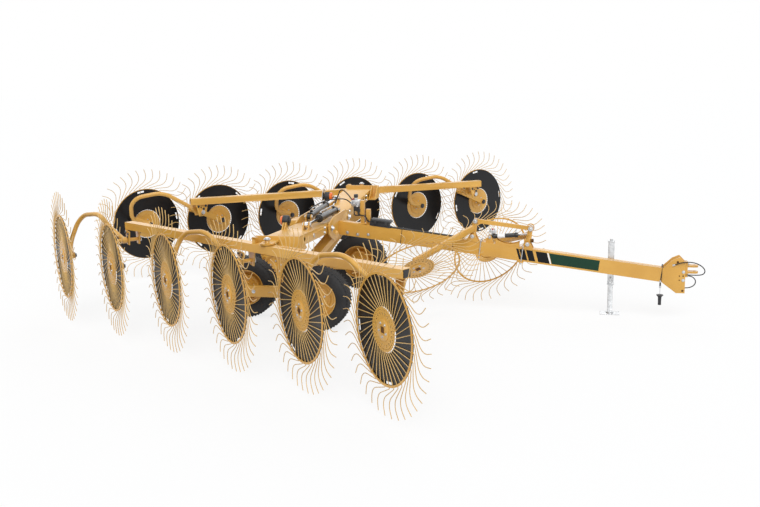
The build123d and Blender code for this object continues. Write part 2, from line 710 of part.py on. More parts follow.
def make_road_rim():
    half = TYRE_WIDTH * 0.36
    radius = TYRE_SEAT_R - SEAT_GAP
    barrel = Pos(0, 0, -half) * extrude(Circle(radius) - Circle(radius - ROAD_RIM_WALL), 2 * half)
    disc = extrude(Circle(radius - ROAD_RIM_WALL / 2), ROAD_RIM_WALL)
    hub = Pos(0, 0, -ROAD_HUB_BACK) * extrude(Circle(ROAD_HUB_R), ROAD_HUB_LENGTH)
    bore = Pos(0, 0, -ROAD_HUB_BACK) * extrude(Circle(SPINDLE_R + PIN_GAP), AXLE_BORE)
    return Rot(90, 0, 0) * (barrel + disc + hub - bore)


tyre = make_tyre()
road_rim = make_road_rim()
for end, along, side in (("rear", -1, 1), ("front", 1, -1)):
    hub = Pos(TANDEM_X + along * SPLAY_X, -TANDEM_Y + side * SPLAY_Y, TYRE_R)
    face = Rot(0, 0, 0) if side < 0 else Rot(0, 0, 180)
    for kind, shape in (("tyre", tyre), ("rim", road_rim)):
        placed = hub * face * shape
        save(f"right_{end}_{kind}", placed)
        save(f"left_{end}_{kind}", left_of(placed))


# Tongue: box tube with hitch cheeks, centre-wheel bearings and the jack's side plate
def make_tongue():
    behind = tongue_rear - TONGUE_DEPTH
    front = Vector(TONGUE_FRONT, 0, TONGUE_FRONT_Z)
    tube = bar(Vector(behind, 0, tongue_z(behind)), front, TONGUE_WIDTH, TONGUE_DEPTH, wall=TONGUE_WALL)
    tube -= block(behind - TONGUE_DEPTH, tongue_rear, -TONGUE_WIDTH, TONGUE_WIDTH, 0, 2 * tongue_z(behind))
    end, middle, face_x = TONGUE_FRONT - HITCH_LAP, TONGUE_FRONT_Z, TONGUE_FRONT + HITCH_REACH
    low, high = middle - HITCH_DROP, middle + HITCH_RISE - HITCH_CORNER
    cheek = [
        (end, middle + TONGUE_DEPTH / 2),
        (TONGUE_FRONT + HITCH_SHOULDER, middle + HITCH_RISE * 0.85),
        (face_x - HITCH_CREST, middle + HITCH_RISE),
        (face_x, high),
        (face_x, low),
        (face_x - HITCH_FOOT, low),
        (end, middle - TONGUE_DEPTH / 2),
    ]
    for side in (-1, 1):
        y = side * (TONGUE_WIDTH / 2 + HITCH_CHEEK / 2)
        tube += plate((0, y, 0), (0, -1, 0), (1, 0, 0), cheek, HITCH_CHEEK)
    half = TONGUE_WIDTH / 2 + HITCH_CHEEK
    tube += block(face_x - HITCH_CHEEK, face_x, -half, half, low, high)
    for step in (0, KICK_STEP):
        x = KICK_X + step
        z = tongue_z(x) + KICK_RISE
        base = tongue_z(x) + TONGUE_DEPTH / 2
        foot, crest = BEARING_FOOT, z + BEARING_CREST
        outline = [
            (x - foot, base),
            (x + foot, base - BEARING_DIP),
            (x + BEARING_TOP, crest),
            (x - BEARING_TOP, crest),
        ]
        for side in (-1, 1):
            y = side * (BEARING_HALF + BEARING_PLATE / 2)
            tube += plate((0, y, 0), (0, -1, 0), (1, 0, 0), outline, BEARING_PLATE)
        end = BEARING_HALF + BEARING_PLATE + BEARING_PIN_END
        tube += rod((x, -end, z), (x, end, z), KICK_PIN_R)
    ram_z = tongue_z(RAM_X) + TONGUE_DEPTH / 2
    crest = ram_z + RAM_RISE + RAM_LUG_CREST
    outline = [
        (RAM_X - RAM_LUG_FOOT, ram_z - RAM_LUG_SINK),
        (RAM_X + RAM_LUG_FOOT, ram_z - RAM_LUG_SINK - RAM_LUG_DIP),
        (RAM_X + RAM_LUG_TOP, crest),
        (RAM_X - RAM_LUG_TOP, crest),
    ]
    for side in (-1, 1):
        tube += plate((0, side * RAM_LUG_Y, 0), (0, -1, 0), (1, 0, 0), outline, RAM_LUG_PLATE)
    pin = Vector(RAM_X, 0, ram_z + RAM_RISE)
    half = Vector(0, RAM_LUG_Y + RAM_LUG_PLATE, 0)
    tube += rod(pin - half, pin + half, RAM_PIN_R)
    face_y, z = TONGUE_WIDTH / 2, tongue_z(JACK_X)
    x0, x1 = JACK_X - JACK_PLATE_WIDE / 2, JACK_X + JACK_PLATE_WIDE / 2
    z0, z1 = z - JACK_PLATE_HIGH / 2, z + JACK_PLATE_HIGH / 2
    return tube + block(x0, x1, face_y - TONGUE_WALL / 2, face_y + JACK_PLATE, z0, z1)


save("tongue", make_tongue())

clevis_back = TONGUE_FRONT + HITCH_REACH + SEAT_GAP


def make_clevis():
    half, rise = CLEVIS_PAD_WIDE / 2, CLEVIS_PAD_HIGH / 2
    pad = block(clevis_back, clevis_back + CLEVIS_PAD, -half, half, HITCH_Z - rise, HITCH_Z + rise)
    for side in (-1, 1):
        z = HITCH_Z + side * (CLEVIS_GAP / 2 + CLEVIS_PLATE / 2)
        reach = Rectangle(HITCH_X - clevis_back, CLEVIS_WIDTH, align=(Align.MAX, Align.CENTER))
        prong = extrude(reach, CLEVIS_PLATE / 2, both=True)
        nose = extrude(Circle(CLEVIS_WIDTH / 2), CLEVIS_PLATE / 2, both=True)
        pad += Pos(HITCH_X, 0, z) * (prong + nose)
    return pad - rod((HITCH_X, 0, HITCH_Z - rise), (HITCH_X, 0, HITCH_Z + rise), HITCH_PIN_R)


save("hitch_clevis", make_clevis())

# Jack: square tube on the left of the tongue and a sliding leg with its foot
jack_y = TONGUE_WIDTH / 2 + JACK_PLATE + SEAT_GAP + JACK_SIZE / 2
jack_low, jack_high = Vector(JACK_X, jack_y, JACK_LOW), Vector(JACK_X, jack_y, JACK_TOP)
jack_tube = bar(jack_low, jack_high, JACK_SIZE, JACK_SIZE, up=(1, 0, 0), wall=JACK_WALL)
leg_size = JACK_SIZE - 2 * (JACK_WALL + SEAT_GAP)
leg_foot, leg_end = Vector(JACK_X, jack_y, FOOT_THICK), jack_low + Vector(0, 0, JACK_LAP)
jack_leg = bar(leg_foot, leg_end, leg_size, leg_size, up=(1, 0, 0))
jack_leg += Pos(JACK_X, jack_y, FOOT_THICK / 2) * Box(FOOT_LENGTH, FOOT_WIDTH, FOOT_THICK)
save("jack_tube", jack_tube)
save("jack_leg", jack_leg)


# Centre wheels: each arm has a tube on the tongue's bearing, a tower and a bar down to its wheel
kick_fall = KICK_STEP * tan(radians(TONGUE_SLOPE))
kick_axis = Vector(*KICK_NORMAL).normalized()
pivot = Vector(KICK_X, 0, tongue_z(KICK_X) + KICK_RISE)
kick_hub = pivot + Vector(*KICK_REACH)
tower_top = pivot + Vector(TOWER_LEAN, 0, TOWER_RISE)
to_front = Pos(KICK_STEP, 0, -kick_fall)


def make_kicker_arm():
    tube_half = BEARING_HALF - MOVE_GAP
    arm = rod(pivot - Vector(0, tube_half, 0), pivot + Vector(0, tube_half, 0), KICK_TUBE_R)
    plate_y = LINK_THICK / 2 + MOVE_GAP + LUG_PLATE / 2
    crest = tower_top.Z + TOWER_CREST
    outline = [
        (pivot.X - KICK_TUBE_R, pivot.Z),
        (pivot.X + KICK_TUBE_R, pivot.Z),
        (tower_top.X + TOWER_HALF, tower_top.Z),
        (tower_top.X + TOWER_HALF / 2, crest),
        (tower_top.X - TOWER_HALF / 2, crest),
        (tower_top.X - TOWER_HALF, tower_top.Z),
    ]
    for side in (-1, 1):
        arm += plate((0, side * plate_y, 0), (0, -1, 0), (1, 0, 0), outline, LUG_PLATE)
    half = Vector(0, plate_y + LUG_PLATE, 0)
    ram_pin = pivot + Vector(RAM_EYE_LEAN, 0, RAM_EYE_RISE)
    for pin, radius in ((tower_top, LINK_PIN_R), (ram_pin, RAM_PIN_R)):
        arm += rod(pin - half, pin + half, radius)
    seat = kick_hub + kick_axis * ARM_OFFSET
    root = pivot + Vector(TOWER_LEAN * BAR_RISE / TOWER_RISE - BAR_BACK, -plate_y, BAR_RISE)
    arm += bar(root, seat, KICK_ARM_THICK, KICK_ARM_WIDTH)
    arm += rod(kick_hub + kick_axis * (BOSS_LENGTH + MOVE_GAP), seat + kick_axis * ARM_THICK, SLEEVE_R)
    arm += rod(kick_hub + kick_axis, seat, SPINDLE_R)
    reach = Vector(0, tube_half + 1, 0)
    return arm - rod(pivot - reach, pivot + reach, KICK_PIN_R + PIN_GAP)


def make_link():
    front = tower_top + Vector(KICK_STEP, 0, -kick_fall)
    link = bar(tower_top, front, LINK_THICK, LINK_WIDTH)
    half = Vector(0, LINK_THICK / 2, 0)
    for pin in (tower_top, front):
        link += rod(pin - half, pin + half, LINK_WIDTH / 2)
    for pin, gap in ((tower_top, PIN_GAP), (front, SEAT_GAP)):
        link -= rod(pin - half * 2, pin + half * 2, LINK_PIN_R + gap)
    return link


kicker_arm = make_kicker_arm()
kicker_place = facing(kick_hub, -kick_axis, (0, 0, 1))
kicker_wheel = kicker_place.location * wheel
save("right_kicker_arm", kicker_arm)
save("right_kicker_wheel", kicker_wheel)
save("left_kicker_arm", to_front * left_of(kicker_arm))
save("left_kicker_wheel", to_front * left_of(kicker_wheel))
save("kicker_link", make_link())
ram_base = (RAM_X, 0, tongue_z(RAM_X) + TONGUE_DEPTH / 2 + RAM_RISE)
ram_eye = pivot + Vector(KICK_STEP + RAM_EYE_LEAN, 0, RAM_EYE_RISE - kick_fall)
ram_barrel, ram_rod = make_cylinder(
    ram_base,
    ram_eye,
    (0, 1, 0),
    RAM_R,
    RAM_ROD_R,
    RAM_PIN_R,
    RAM_SLACK,
    RAM_EYE_R,
    LINK_THICK,
    RAM_ROD_SHOWN,
    RAM_STROKE,
)
save("kicker_ram_barrel", ram_barrel)
save("kicker_ram_rod", ram_rod)

# Tool box strapped on the tongue
box_rear = Vector(BOX_AT, 0, tongue_z(BOX_AT))
box_front = Vector(BOX_AT + BOX_LENGTH, 0, tongue_z(BOX_AT + BOX_LENGTH))
lift = Vector(0, 0, TONGUE_DEPTH / 2 / cos(radians(TONGUE_SLOPE)) + SEAT_GAP + BOX_HEIGHT / 2)
save("tool_box", bar(box_rear + lift, box_front + lift, TONGUE_WIDTH, BOX_HEIGHT))
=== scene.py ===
"""The finishes and fine forms of a trailed V rake with twelve guarded rake wheels and two centre wheels."""

import json
import math

import bmesh
import bpy
from mathutils import Matrix, Vector
from mathutils.geometry import interpolate_bezier

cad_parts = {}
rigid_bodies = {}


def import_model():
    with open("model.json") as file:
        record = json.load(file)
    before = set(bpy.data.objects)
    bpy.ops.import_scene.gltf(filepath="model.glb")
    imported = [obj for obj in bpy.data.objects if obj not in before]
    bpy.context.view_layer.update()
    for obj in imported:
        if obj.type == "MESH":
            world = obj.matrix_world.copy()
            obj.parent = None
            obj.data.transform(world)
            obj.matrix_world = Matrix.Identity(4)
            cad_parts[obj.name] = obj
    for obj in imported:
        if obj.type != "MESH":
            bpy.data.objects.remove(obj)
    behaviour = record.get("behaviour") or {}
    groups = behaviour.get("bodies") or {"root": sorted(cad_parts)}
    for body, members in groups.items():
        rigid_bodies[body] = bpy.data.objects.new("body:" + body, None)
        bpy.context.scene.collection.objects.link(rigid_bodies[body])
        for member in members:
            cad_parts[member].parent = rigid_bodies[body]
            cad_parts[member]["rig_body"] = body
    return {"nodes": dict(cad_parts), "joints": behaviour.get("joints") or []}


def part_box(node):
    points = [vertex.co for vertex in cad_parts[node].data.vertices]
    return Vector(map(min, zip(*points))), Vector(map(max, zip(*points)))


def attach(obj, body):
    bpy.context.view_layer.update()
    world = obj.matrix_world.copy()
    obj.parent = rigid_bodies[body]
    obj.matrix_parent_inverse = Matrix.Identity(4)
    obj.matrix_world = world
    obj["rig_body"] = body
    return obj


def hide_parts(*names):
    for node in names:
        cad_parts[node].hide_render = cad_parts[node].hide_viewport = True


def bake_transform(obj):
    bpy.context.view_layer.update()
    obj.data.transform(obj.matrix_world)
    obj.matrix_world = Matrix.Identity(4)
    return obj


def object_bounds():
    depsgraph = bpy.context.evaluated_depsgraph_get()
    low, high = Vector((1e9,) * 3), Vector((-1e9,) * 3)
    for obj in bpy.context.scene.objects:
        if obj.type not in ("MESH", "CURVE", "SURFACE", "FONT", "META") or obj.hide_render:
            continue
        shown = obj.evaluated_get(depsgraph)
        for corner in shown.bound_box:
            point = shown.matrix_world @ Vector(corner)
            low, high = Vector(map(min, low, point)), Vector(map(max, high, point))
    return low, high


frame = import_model()
cad_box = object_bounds()
JOINTS = {joint["name"]: joint for joint in frame["joints"]}
FLOOR_Z = cad_box[0].z
SIDES = (("right", -1), ("left", 1))
AHEAD = Vector((1, 0, 0))
UP = Vector((0, 0, 1))

# Rake wheels
TINES = 40
WIRE_R = 0.0036
SPOKE_ROOT = 0.108
SPOKE_LEAVES = 0.165
TINE_STUB = 0.022
SPOKE_SWEEP = 22.0
HUB_R = 0.178
RIM_OUTER = 0.457
RIM_WIDTH = 0.020
RIM_THICK = 0.006
BEND_R = 0.585
BEND_SWEEP = 22.5
TIP_R = 0.711
TIP_SWEEP = 18.5
WHEEL_BOSS_BACK = 0.062
BOSS_R = 0.046
GUARD_R = 0.450
GUARD_HOLE_R = 0.186
GUARD_THICK = 0.0025
GUARD_BACK = 0.0075
SLOT_R = 0.424
SLOT_LENGTH = 0.090
SLOT_WIDTH = 0.022
GUARD_STEP = 36.0
HUB_SHADE_R = 0.172

# Road wheels
TYRE_R = 0.336
TYRE_HALF = 0.1025
RIM_SEAT_R = 0.1955

# Tongue
TONGUE_X = -0.310
TONGUE_Z = -0.067
TONGUE_SLOPE = math.radians(7.27)
TONGUE_WIDTH = 0.102
TONGUE_DEPTH = 0.152
TOOL_BOX_FRONT = -3.285
TOOL_BOX_REAR = -3.502
HOSE_R = 0.0065
HOSE_ACROSS = 0.014
TIE_R = 0.0028
HOSE_DIVE_X = -2.470
TIE_PLACES = (-3.146, -2.564)
CLAMP_PLACES = (-2.266, -1.808)
MAST_X = -3.600
POST_X = -3.535
RIB_REAR = -2.125
RIB_FRONT = -1.868
STRAP_X = -0.336
HITCH_CHEEK = 0.014

# Films on the tongue's sides, by distance along it at their upper edge
FILM = 0.0007
BAND_HIGH = 0.057
BAND_LOW = -0.057
BAND_SLANT = 0.046
BLACK_BANDS = ((-1.894, -1.868), (-1.860, -1.802), (-1.786, -1.716), (-1.683, -1.560))
WHITE_BAND = (-1.558, -1.542)
GREEN_BAND = (-1.538, -0.993)

# Side beams, brackets and wheel arms
BRACKET_FIRST = 0.642
BRACKET_STEP = 1.870
BRACKET_INSET = 0.478
BRACKET_HALF = 0.055
BEAM_UNDER = 1.024
ARM_PIN_DROP = 0.098
ARM_OFFSET = 0.096
ARM_THICK = 0.024
SWING_PIN_TOP = 0.614

# Lift arms and their cylinders
ARM_FRONT_X = -3.8883
ARM_RISE = 0.05596
ARM_HINGE_Y = 0.380
ARM_HINGE_Z = 0.440
LAMP_X = -4.224
LAMP_Y = 0.870
LAMP_Z = 0.604
LAMP_R = 0.054
EYE_R = 0.030
ROD_SHOWN = 0.470
PORT_AHEAD = 0.110
PORT_BACK = 0.075
BARREL_R = 0.038
ROD_R = 0.017
PIN_HEAD_X = 0.041

# Carriage, tandem and centre wheels
CARRIAGE_X = -4.0583
HINGE_PIN_END = 0.210
TANDEM_X = -4.338
TANDEM_Y = 0.722
TANDEM_OUT = 0.776
AXLE_Z = -0.209
TOWER_PIN_HALF = 0.037

# The camera, solved together with the machine from the photograph
CAMERA_PLACE = (-1.161, -10.340, 2.285)
CAMERA_YAW = 0.2135
CAMERA_PITCH = 0.2048
CAMERA_ROLL = -0.0206
CAMERA_LENS = 45.25

# Light and floor
SKY_STRENGTH = 0.62
OVERHEAD_STRENGTH = 2.0
REAR_STRENGTH = 0.5
FLOOR_GREY = 0.86
FLOOR_FAINT = 0.17
FLOOR_GLOW = 0.80

# Hanging cables at the hitch: the points that each one's line is drawn towards
CABLE_R = 0.0055
HITCH_CABLES = {
    "upper_cable": (
        (-0.215, -0.0705, 0.050), (-0.185, -0.076, 0.064), (-0.140, -0.080, 0.079),
        (-0.090, -0.078, 0.087), (-0.035, -0.072, 0.086), (0.020, -0.064, 0.071),
        (0.068, -0.058, 0.043), (0.100, -0.054, 0.008), (0.102, -0.052, -0.030),
        (0.072, -0.051, -0.052), (0.020, -0.051, -0.057), (-0.035, -0.052, -0.056),
        (-0.094, -0.052, -0.055),
    ),
    "lower_cable": (
        (-0.094, -0.030, -0.070), (-0.060, -0.040, -0.068), (-0.022, -0.048, -0.074),
        (0.006, -0.052, -0.100), (0.014, -0.052, -0.134), (-0.002, -0.048, -0.168),
        (-0.034, -0.042, -0.190), (-0.066, -0.034, -0.200), (-0.094, -0.028, -0.202),
    ),
}


# Materials
def start_material(name, colour, roughness, metallic=0.0):
    material = bpy.data.materials.new(name)
    material.use_nodes = True
    shader = material.node_tree.nodes["Principled BSDF"]
    shader.inputs["Base Color"].default_value = (*colour, 1)
    shader.inputs["Roughness"].default_value = roughness
    shader.inputs["Metallic"].default_value = metallic
    return material, material.node_tree, shader


def noise_of(tree, scale, detail=3.0, stretch=(1, 1, 1)):
    place = tree.nodes.new("ShaderNodeTexCoord")
    mapping = tree.nodes.new("ShaderNodeMapping")
    mapping.inputs["Scale"].default_value = stretch
    noise = tree.nodes.new("ShaderNodeTexNoise")
    noise.inputs["Scale"].default_value = scale
    noise.inputs["Detail"].default_value = detail
    tree.links.new(place.outputs["Object"], mapping.inputs["Vector"])
    tree.links.new(mapping.outputs["Vector"], noise.inputs["Vector"])
    return noise.outputs["Fac"]


def spread_colour(tree, shader, factor, dark, light, low=0.35, high=0.65):
    ramp = tree.nodes.new("ShaderNodeValToRGB")
    ramp.color_ramp.elements[0].position = low
    ramp.color_ramp.elements[0].color = (*dark, 1)
    ramp.color_ramp.elements[1].position = high
    ramp.color_ramp.elements[1].color = (*light, 1)
    tree.links.new(factor, ramp.inputs["Fac"])
    tree.links.new(ramp.outputs["Color"], shader.inputs["Base Color"])


def spread_roughness(tree, shader, factor, low, high):
    spread = tree.nodes.new("ShaderNodeMapRange")
    spread.inputs["To Min"].default_value = low
    spread.inputs["To Max"].default_value = high
    tree.links.new(factor, spread.inputs["Value"])
    tree.links.new(spread.outputs["Result"], shader.inputs["Roughness"])


def add_bump(tree, shader, height, strength, distance):
    bump = tree.nodes.new("ShaderNodeBump")
    bump.inputs["Strength"].default_value = strength
    bump.inputs["Distance"].default_value = distance
    tree.links.new(height, bump.inputs["Height"])
    tree.links.new(bump.outputs["Normal"], shader.inputs["Normal"])


def enamel(name, dark, light, roughness=0.36, coat=0.2, gloss=0.5):
    material, tree, shader = start_material(name, light, roughness)
    shader.inputs["Coat Weight"].default_value = coat
    shader.inputs["Coat Roughness"].default_value = 0.18
    shader.inputs["Specular IOR Level"].default_value = gloss
    spread_colour(tree, shader, noise_of(tree, 2.6, 4.0), dark, light)
    spread_roughness(tree, shader, noise_of(tree, 9.0, 3.0), roughness - 0.06, roughness + 0.08)
    add_bump(tree, shader, noise_of(tree, 260.0, 2.0), 0.12, 0.0006)
    return material


def plated(name, dark, light, roughness, spots=40.0):
    material, tree, shader = start_material(name, light, roughness, 1.0)
    spread_colour(tree, shader, noise_of(tree, spots, 4.0), dark, light, 0.3, 0.7)
    spread_roughness(tree, shader, noise_of(tree, spots * 2.2, 3.0), roughness - 0.06, roughness + 0.1)
    add_bump(tree, shader, noise_of(tree, 500.0, 2.0), 0.05, 0.0003)
    return material


def moulded(name, dark, light, roughness, grain=420.0, strength=0.25):
    material, tree, shader = start_material(name, light, roughness)
    spread_colour(tree, shader, noise_of(tree, 7.0, 3.0), dark, light)
    spread_roughness(tree, shader, noise_of(tree, 14.0, 3.0), roughness - 0.05, roughness + 0.08)
    add_bump(tree, shader, noise_of(tree, grain, 3.0), strength, 0.0006)
    return material


PAINT_DARK = (0.575, 0.300, 0.048)
PAINT_LIGHT = (0.650, 0.358, 0.066)
YELLOW = enamel("yellow enamel", PAINT_DARK, PAINT_LIGHT)
TINE_YELLOW = enamel("yellow wire paint", (0.56, 0.345, 0.110), (0.66, 0.425, 0.150), 0.42)
SHEET_BLACK = enamel("black sheet enamel", (0.006, 0.006, 0.007), (0.010, 0.010, 0.011), 0.30, 0.0, 0.3)
PAINT_BLACK = enamel("black cylinder paint", (0.008, 0.008, 0.008), (0.014, 0.014, 0.014), 0.28)
# Painted shade: a dark brown that stands for the shade inside holes and recesses, and behind the hub's
# holes; the tower stop is drawn in it too.
HOLE_SHADE_AND_STOP_BROWN = enamel("painted hole shade and stop brown", (0.090, 0.036, 0.009), (0.125, 0.052, 0.013), 0.6, 0.0, 0.2)
AMBER = enamel("amber lens", (0.78, 0.13, 0.010), (0.86, 0.17, 0.014), 0.16, 0.4)
CAP_RED = enamel("red port cap", (0.36, 0.020, 0.012), (0.44, 0.028, 0.016), 0.4)
DECAL_BLACK = enamel("black film", (0.005, 0.005, 0.006), (0.008, 0.008, 0.009), 0.40, 0.0, 0.2)
DECAL_WHITE = enamel("white film", (0.76, 0.76, 0.75), (0.84, 0.84, 0.83), 0.4, 0.0)
DECAL_GREEN = enamel("green film", (0.007, 0.036, 0.020), (0.010, 0.044, 0.025), 0.42, 0.0, 0.2)
PLASTIC_BLACK = moulded("black plastic", (0.018, 0.018, 0.020), (0.030, 0.031, 0.034), 0.55)
RUBBER = moulded("tyre rubber", (0.011, 0.011, 0.012), (0.021, 0.021, 0.022), 0.72, 180.0, 0.5)
HOSE = moulded("hose rubber", (0.009, 0.009, 0.010), (0.017, 0.017, 0.018), 0.5, 300.0, 0.3)
CHROME = plated("polished rod", (0.80, 0.80, 0.82), (0.88, 0.88, 0.90), 0.10, 20.0)
ZINC = plated("zinc plate", (0.50, 0.51, 0.52), (0.72, 0.73, 0.74), 0.34)
DARK_STEEL = plated("dark fastener steel", (0.06, 0.06, 0.065), (0.12, 0.12, 0.125), 0.42)


# Shapes: each function returns a new bmesh, and joined() puts several in one
def joined(*shapes):
    whole = bmesh.new()
    for shape in shapes:
        mesh = bpy.data.meshes.new("part of a shape")
        shape.to_mesh(mesh)
        shape.free()
        whole.from_mesh(mesh)
        bpy.data.meshes.remove(mesh)
    return whole


def moved(shape, matrix):
    bmesh.ops.transform(shape, matrix=matrix, verts=shape.verts)
    if matrix.determinant() < 0:
        bmesh.ops.reverse_faces(shape, faces=shape.faces)
    return shape


def facing(origin, along, across=(0, 0, 1)):
    """A matrix that puts Z along one direction and X as near as it can to another."""
    z = Vector(along).normalized()
    x = Vector(across) - z * z.dot(Vector(across))
    if x.length < 0.001:
        x = z.orthogonal()
    x.normalize()
    y = z.cross(x)
    matrix = Matrix((x, y, z)).transposed().to_4x4()
    matrix.translation = Vector(origin)
    return matrix


def rounded(shape, width, segments=2, angle=30.0, shortest=0.0):
    """Rounds the edges that are sharper than the angle and longer than the shortest length."""
    edges = [e for e in shape.edges if len(e.link_faces) == 2 and e.calc_length() > shortest]
    sharp = [e for e in edges if e.calc_face_angle(0) > math.radians(angle)]
    bmesh.ops.bevel(
        shape,
        geom=sharp,
        offset=width,
        offset_type="OFFSET",
        segments=segments,
        profile=0.5,
        affect="EDGES",
        clamp_overlap=True,
        material=-1,
    )
    return shape


def rod(start, end, radius, sides=24, edge=0.0):
    start, end = Vector(start), Vector(end)
    shape = bmesh.new()
    depth = (end - start).length
    bmesh.ops.create_cone(shape, cap_ends=True, segments=sides, radius1=radius, radius2=radius, depth=depth)
    if edge:
        rounded(shape, edge, 2, 60)
    return moved(shape, facing((start + end) / 2, end - start))


def block(centre, size, edge=0.002, turn=None):
    shape = bmesh.new()
    bmesh.ops.create_cube(shape, size=1)
    bmesh.ops.scale(shape, vec=size, verts=shape.verts)
    rounded(shape, edge)
    return moved(shape, Matrix.Translation(centre) @ (turn or Matrix.Identity(4)))


def outline_edges(shape, points):
    verts = [shape.verts.new((x, y, 0)) for x, y in points]
    return [shape.edges.new(pair) for pair in zip(verts, verts[1:] + verts[:1])]


def circle_points(radius, count=24, centre=(0, 0)):
    turns = [2 * math.pi * k / count for k in range(count)]
    return [(centre[0] + radius * math.cos(a), centre[1] + radius * math.sin(a)) for a in turns]


def cut_plate(outline, thick, holes=(), edge=0.0):
    """A flat plate on XY, from Z 0 up, with its holes cut through."""
    shape = bmesh.new()
    edges = [e for points in (outline, *holes) for e in outline_edges(shape, points)]
    bmesh.ops.triangle_fill(shape, use_beauty=True, use_dissolve=False, edges=edges)
    bmesh.ops.recalc_face_normals(shape, faces=shape.faces)
    grown = bmesh.ops.extrude_face_region(shape, geom=list(shape.faces))["geom"]
    top = [g for g in grown if isinstance(g, bmesh.types.BMVert)]
    bmesh.ops.translate(shape, vec=(0, 0, thick), verts=top)
    bmesh.ops.recalc_face_normals(shape, faces=shape.faces)
    if edge:
        bmesh.ops.dissolve_limit(
            shape, angle_limit=math.radians(1), verts=shape.verts, edges=shape.edges, delimit={"NORMAL"}
        )
        rounded(shape, edge, 1, 50)
    return shape


def turned(profile, steps=48):
    """A closed profile of (radius, height) points, spun about Z."""
    shape = bmesh.new()
    verts = [shape.verts.new((r, 0, z)) for r, z in profile]
    edges = [shape.edges.new(pair) for pair in zip(verts, verts[1:] + verts[:1])]
    bmesh.ops.spin(
        shape,
        geom=verts + edges,
        cent=(0, 0, 0),
        axis=(0, 0, 1),
        angle=2 * math.pi,
        steps=steps,
        use_merge=True,
    )
    bmesh.ops.remove_doubles(shape, verts=shape.verts, dist=1e-6)
    bmesh.ops.recalc_face_normals(shape, faces=shape.faces)
    return shape


def wire(points, radius, sides=8):
    """A round wire or tube that follows its points, with flat ends."""
    points = [Vector(p) for p in points]
    runs = [(b - a).normalized() for a, b in zip(points, points[1:])]
    heads = [runs[0]] + [(a + b).normalized() for a, b in zip(runs, runs[1:])] + [runs[-1]]
    frames = [facing(points[0], heads[0], heads[0].orthogonal())]
    for point, head in zip(points[1:], heads[1:]):
        frames.append(facing(point, head, frames[-1].col[0].xyz))
    shape = bmesh.new()
    bmesh.ops.create_circle(shape, segments=sides, radius=radius, cap_ends=True)
    moved(shape, frames[0])
    edges = list(shape.edges)
    for before, after in zip(frames, frames[1:]):
        grown = bmesh.ops.extrude_edge_only(shape, edges=edges)["geom"]
        ring = [g for g in grown if isinstance(g, bmesh.types.BMVert)]
        edges = [g for g in grown if isinstance(g, bmesh.types.BMEdge) and all(v in ring for v in g.verts)]
        bmesh.ops.transform(shape, matrix=after @ before.inverted(), verts=ring)
    bmesh.ops.holes_fill(shape, edges=edges, sides=sides)
    bmesh.ops.recalc_face_normals(shape, faces=shape.faces)
    return shape


def copies(shape, count):
    """The shape repeated round Z."""
    first = list(shape.verts) + list(shape.edges) + list(shape.faces)
    for k in range(1, count):
        extra = bmesh.ops.duplicate(shape, geom=first)["geom"]
        verts = [g for g in extra if isinstance(g, bmesh.types.BMVert)]
        turn = Matrix.Rotation(2 * math.pi * k / count, 3, "Z")
        bmesh.ops.rotate(shape, cent=(0, 0, 0), matrix=turn, verts=verts)
    return shape


def eased(before, corner, after, reach, steps):
    """Points of a smooth bend that starts and ends one distance away from its corner."""
    start = corner + (before - corner).normalized() * reach
    end = corner + (after - corner).normalized() * reach
    return interpolate_bezier(start, start.lerp(corner, 0.6), end.lerp(corner, 0.6), end, steps)


def bent(corners, reaches, steps=6):
    """A path of straight runs whose inner corners are each rounded over their own reach."""
    corners = [Vector(c) for c in corners]
    path = [corners[0]]
    for before, corner, after, reach in zip(corners, corners[1:], corners[2:], reaches):
        path += eased(before, corner, after, reach, steps)
    return path + [corners[-1]]


def polar(radius, degrees, height=0.0):
    turn = math.radians(degrees)
    return Vector((radius * math.cos(turn), radius * math.sin(turn), height))


def finish_shape(name, shape, material):
    mesh = bpy.data.meshes.new(name)
    shape.to_mesh(mesh)
    shape.free()
    mesh.polygons.foreach_set("use_smooth", [True] * len(mesh.polygons))
    mesh.set_sharp_from_angle(angle=math.radians(35))
    mesh.materials.append(material)
    piece = bpy.data.objects.new(name, mesh)
    bpy.context.scene.collection.objects.link(piece)
    return piece


def finish_piece(name, shape, material, body="chassis", replaced=()):
    """A piece made of one shape or of a list of them, in its material and on its body."""
    piece = finish_shape(name, joined(*shape) if isinstance(shape, list) else shape, material)
    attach(piece, body)
    if replaced:
        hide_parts(*replaced)
    return piece


def spread(template, name, matrix, material, body, replaced=()):
    """One more copy of a finished shape, in its own place."""
    shape = bmesh.new()
    shape.from_mesh(template)
    return finish_piece(name, moved(shape, matrix), material, body, replaced)


def kept_mesh(shape):
    mesh = bpy.data.meshes.new("template")
    shape.to_mesh(mesh)
    shape.free()
    return mesh


# Rake wheels: made once, lying on XY with the outer face up
def make_tines():
    root = polar(SPOKE_LEAVES, -SPOKE_SWEEP)
    rim = polar(RIM_OUTER - RIM_WIDTH / 2, 0)
    spoke = (rim - root).normalized()
    start = root - spoke * (SPOKE_LEAVES - SPOKE_ROOT)
    corners = [start, rim + spoke * TINE_STUB, polar(BEND_R, -BEND_SWEEP), polar(TIP_R, -TIP_SWEEP)]
    return copies(wire(bent(corners, [0.012, 0.078]), WIRE_R, 6), TINES)


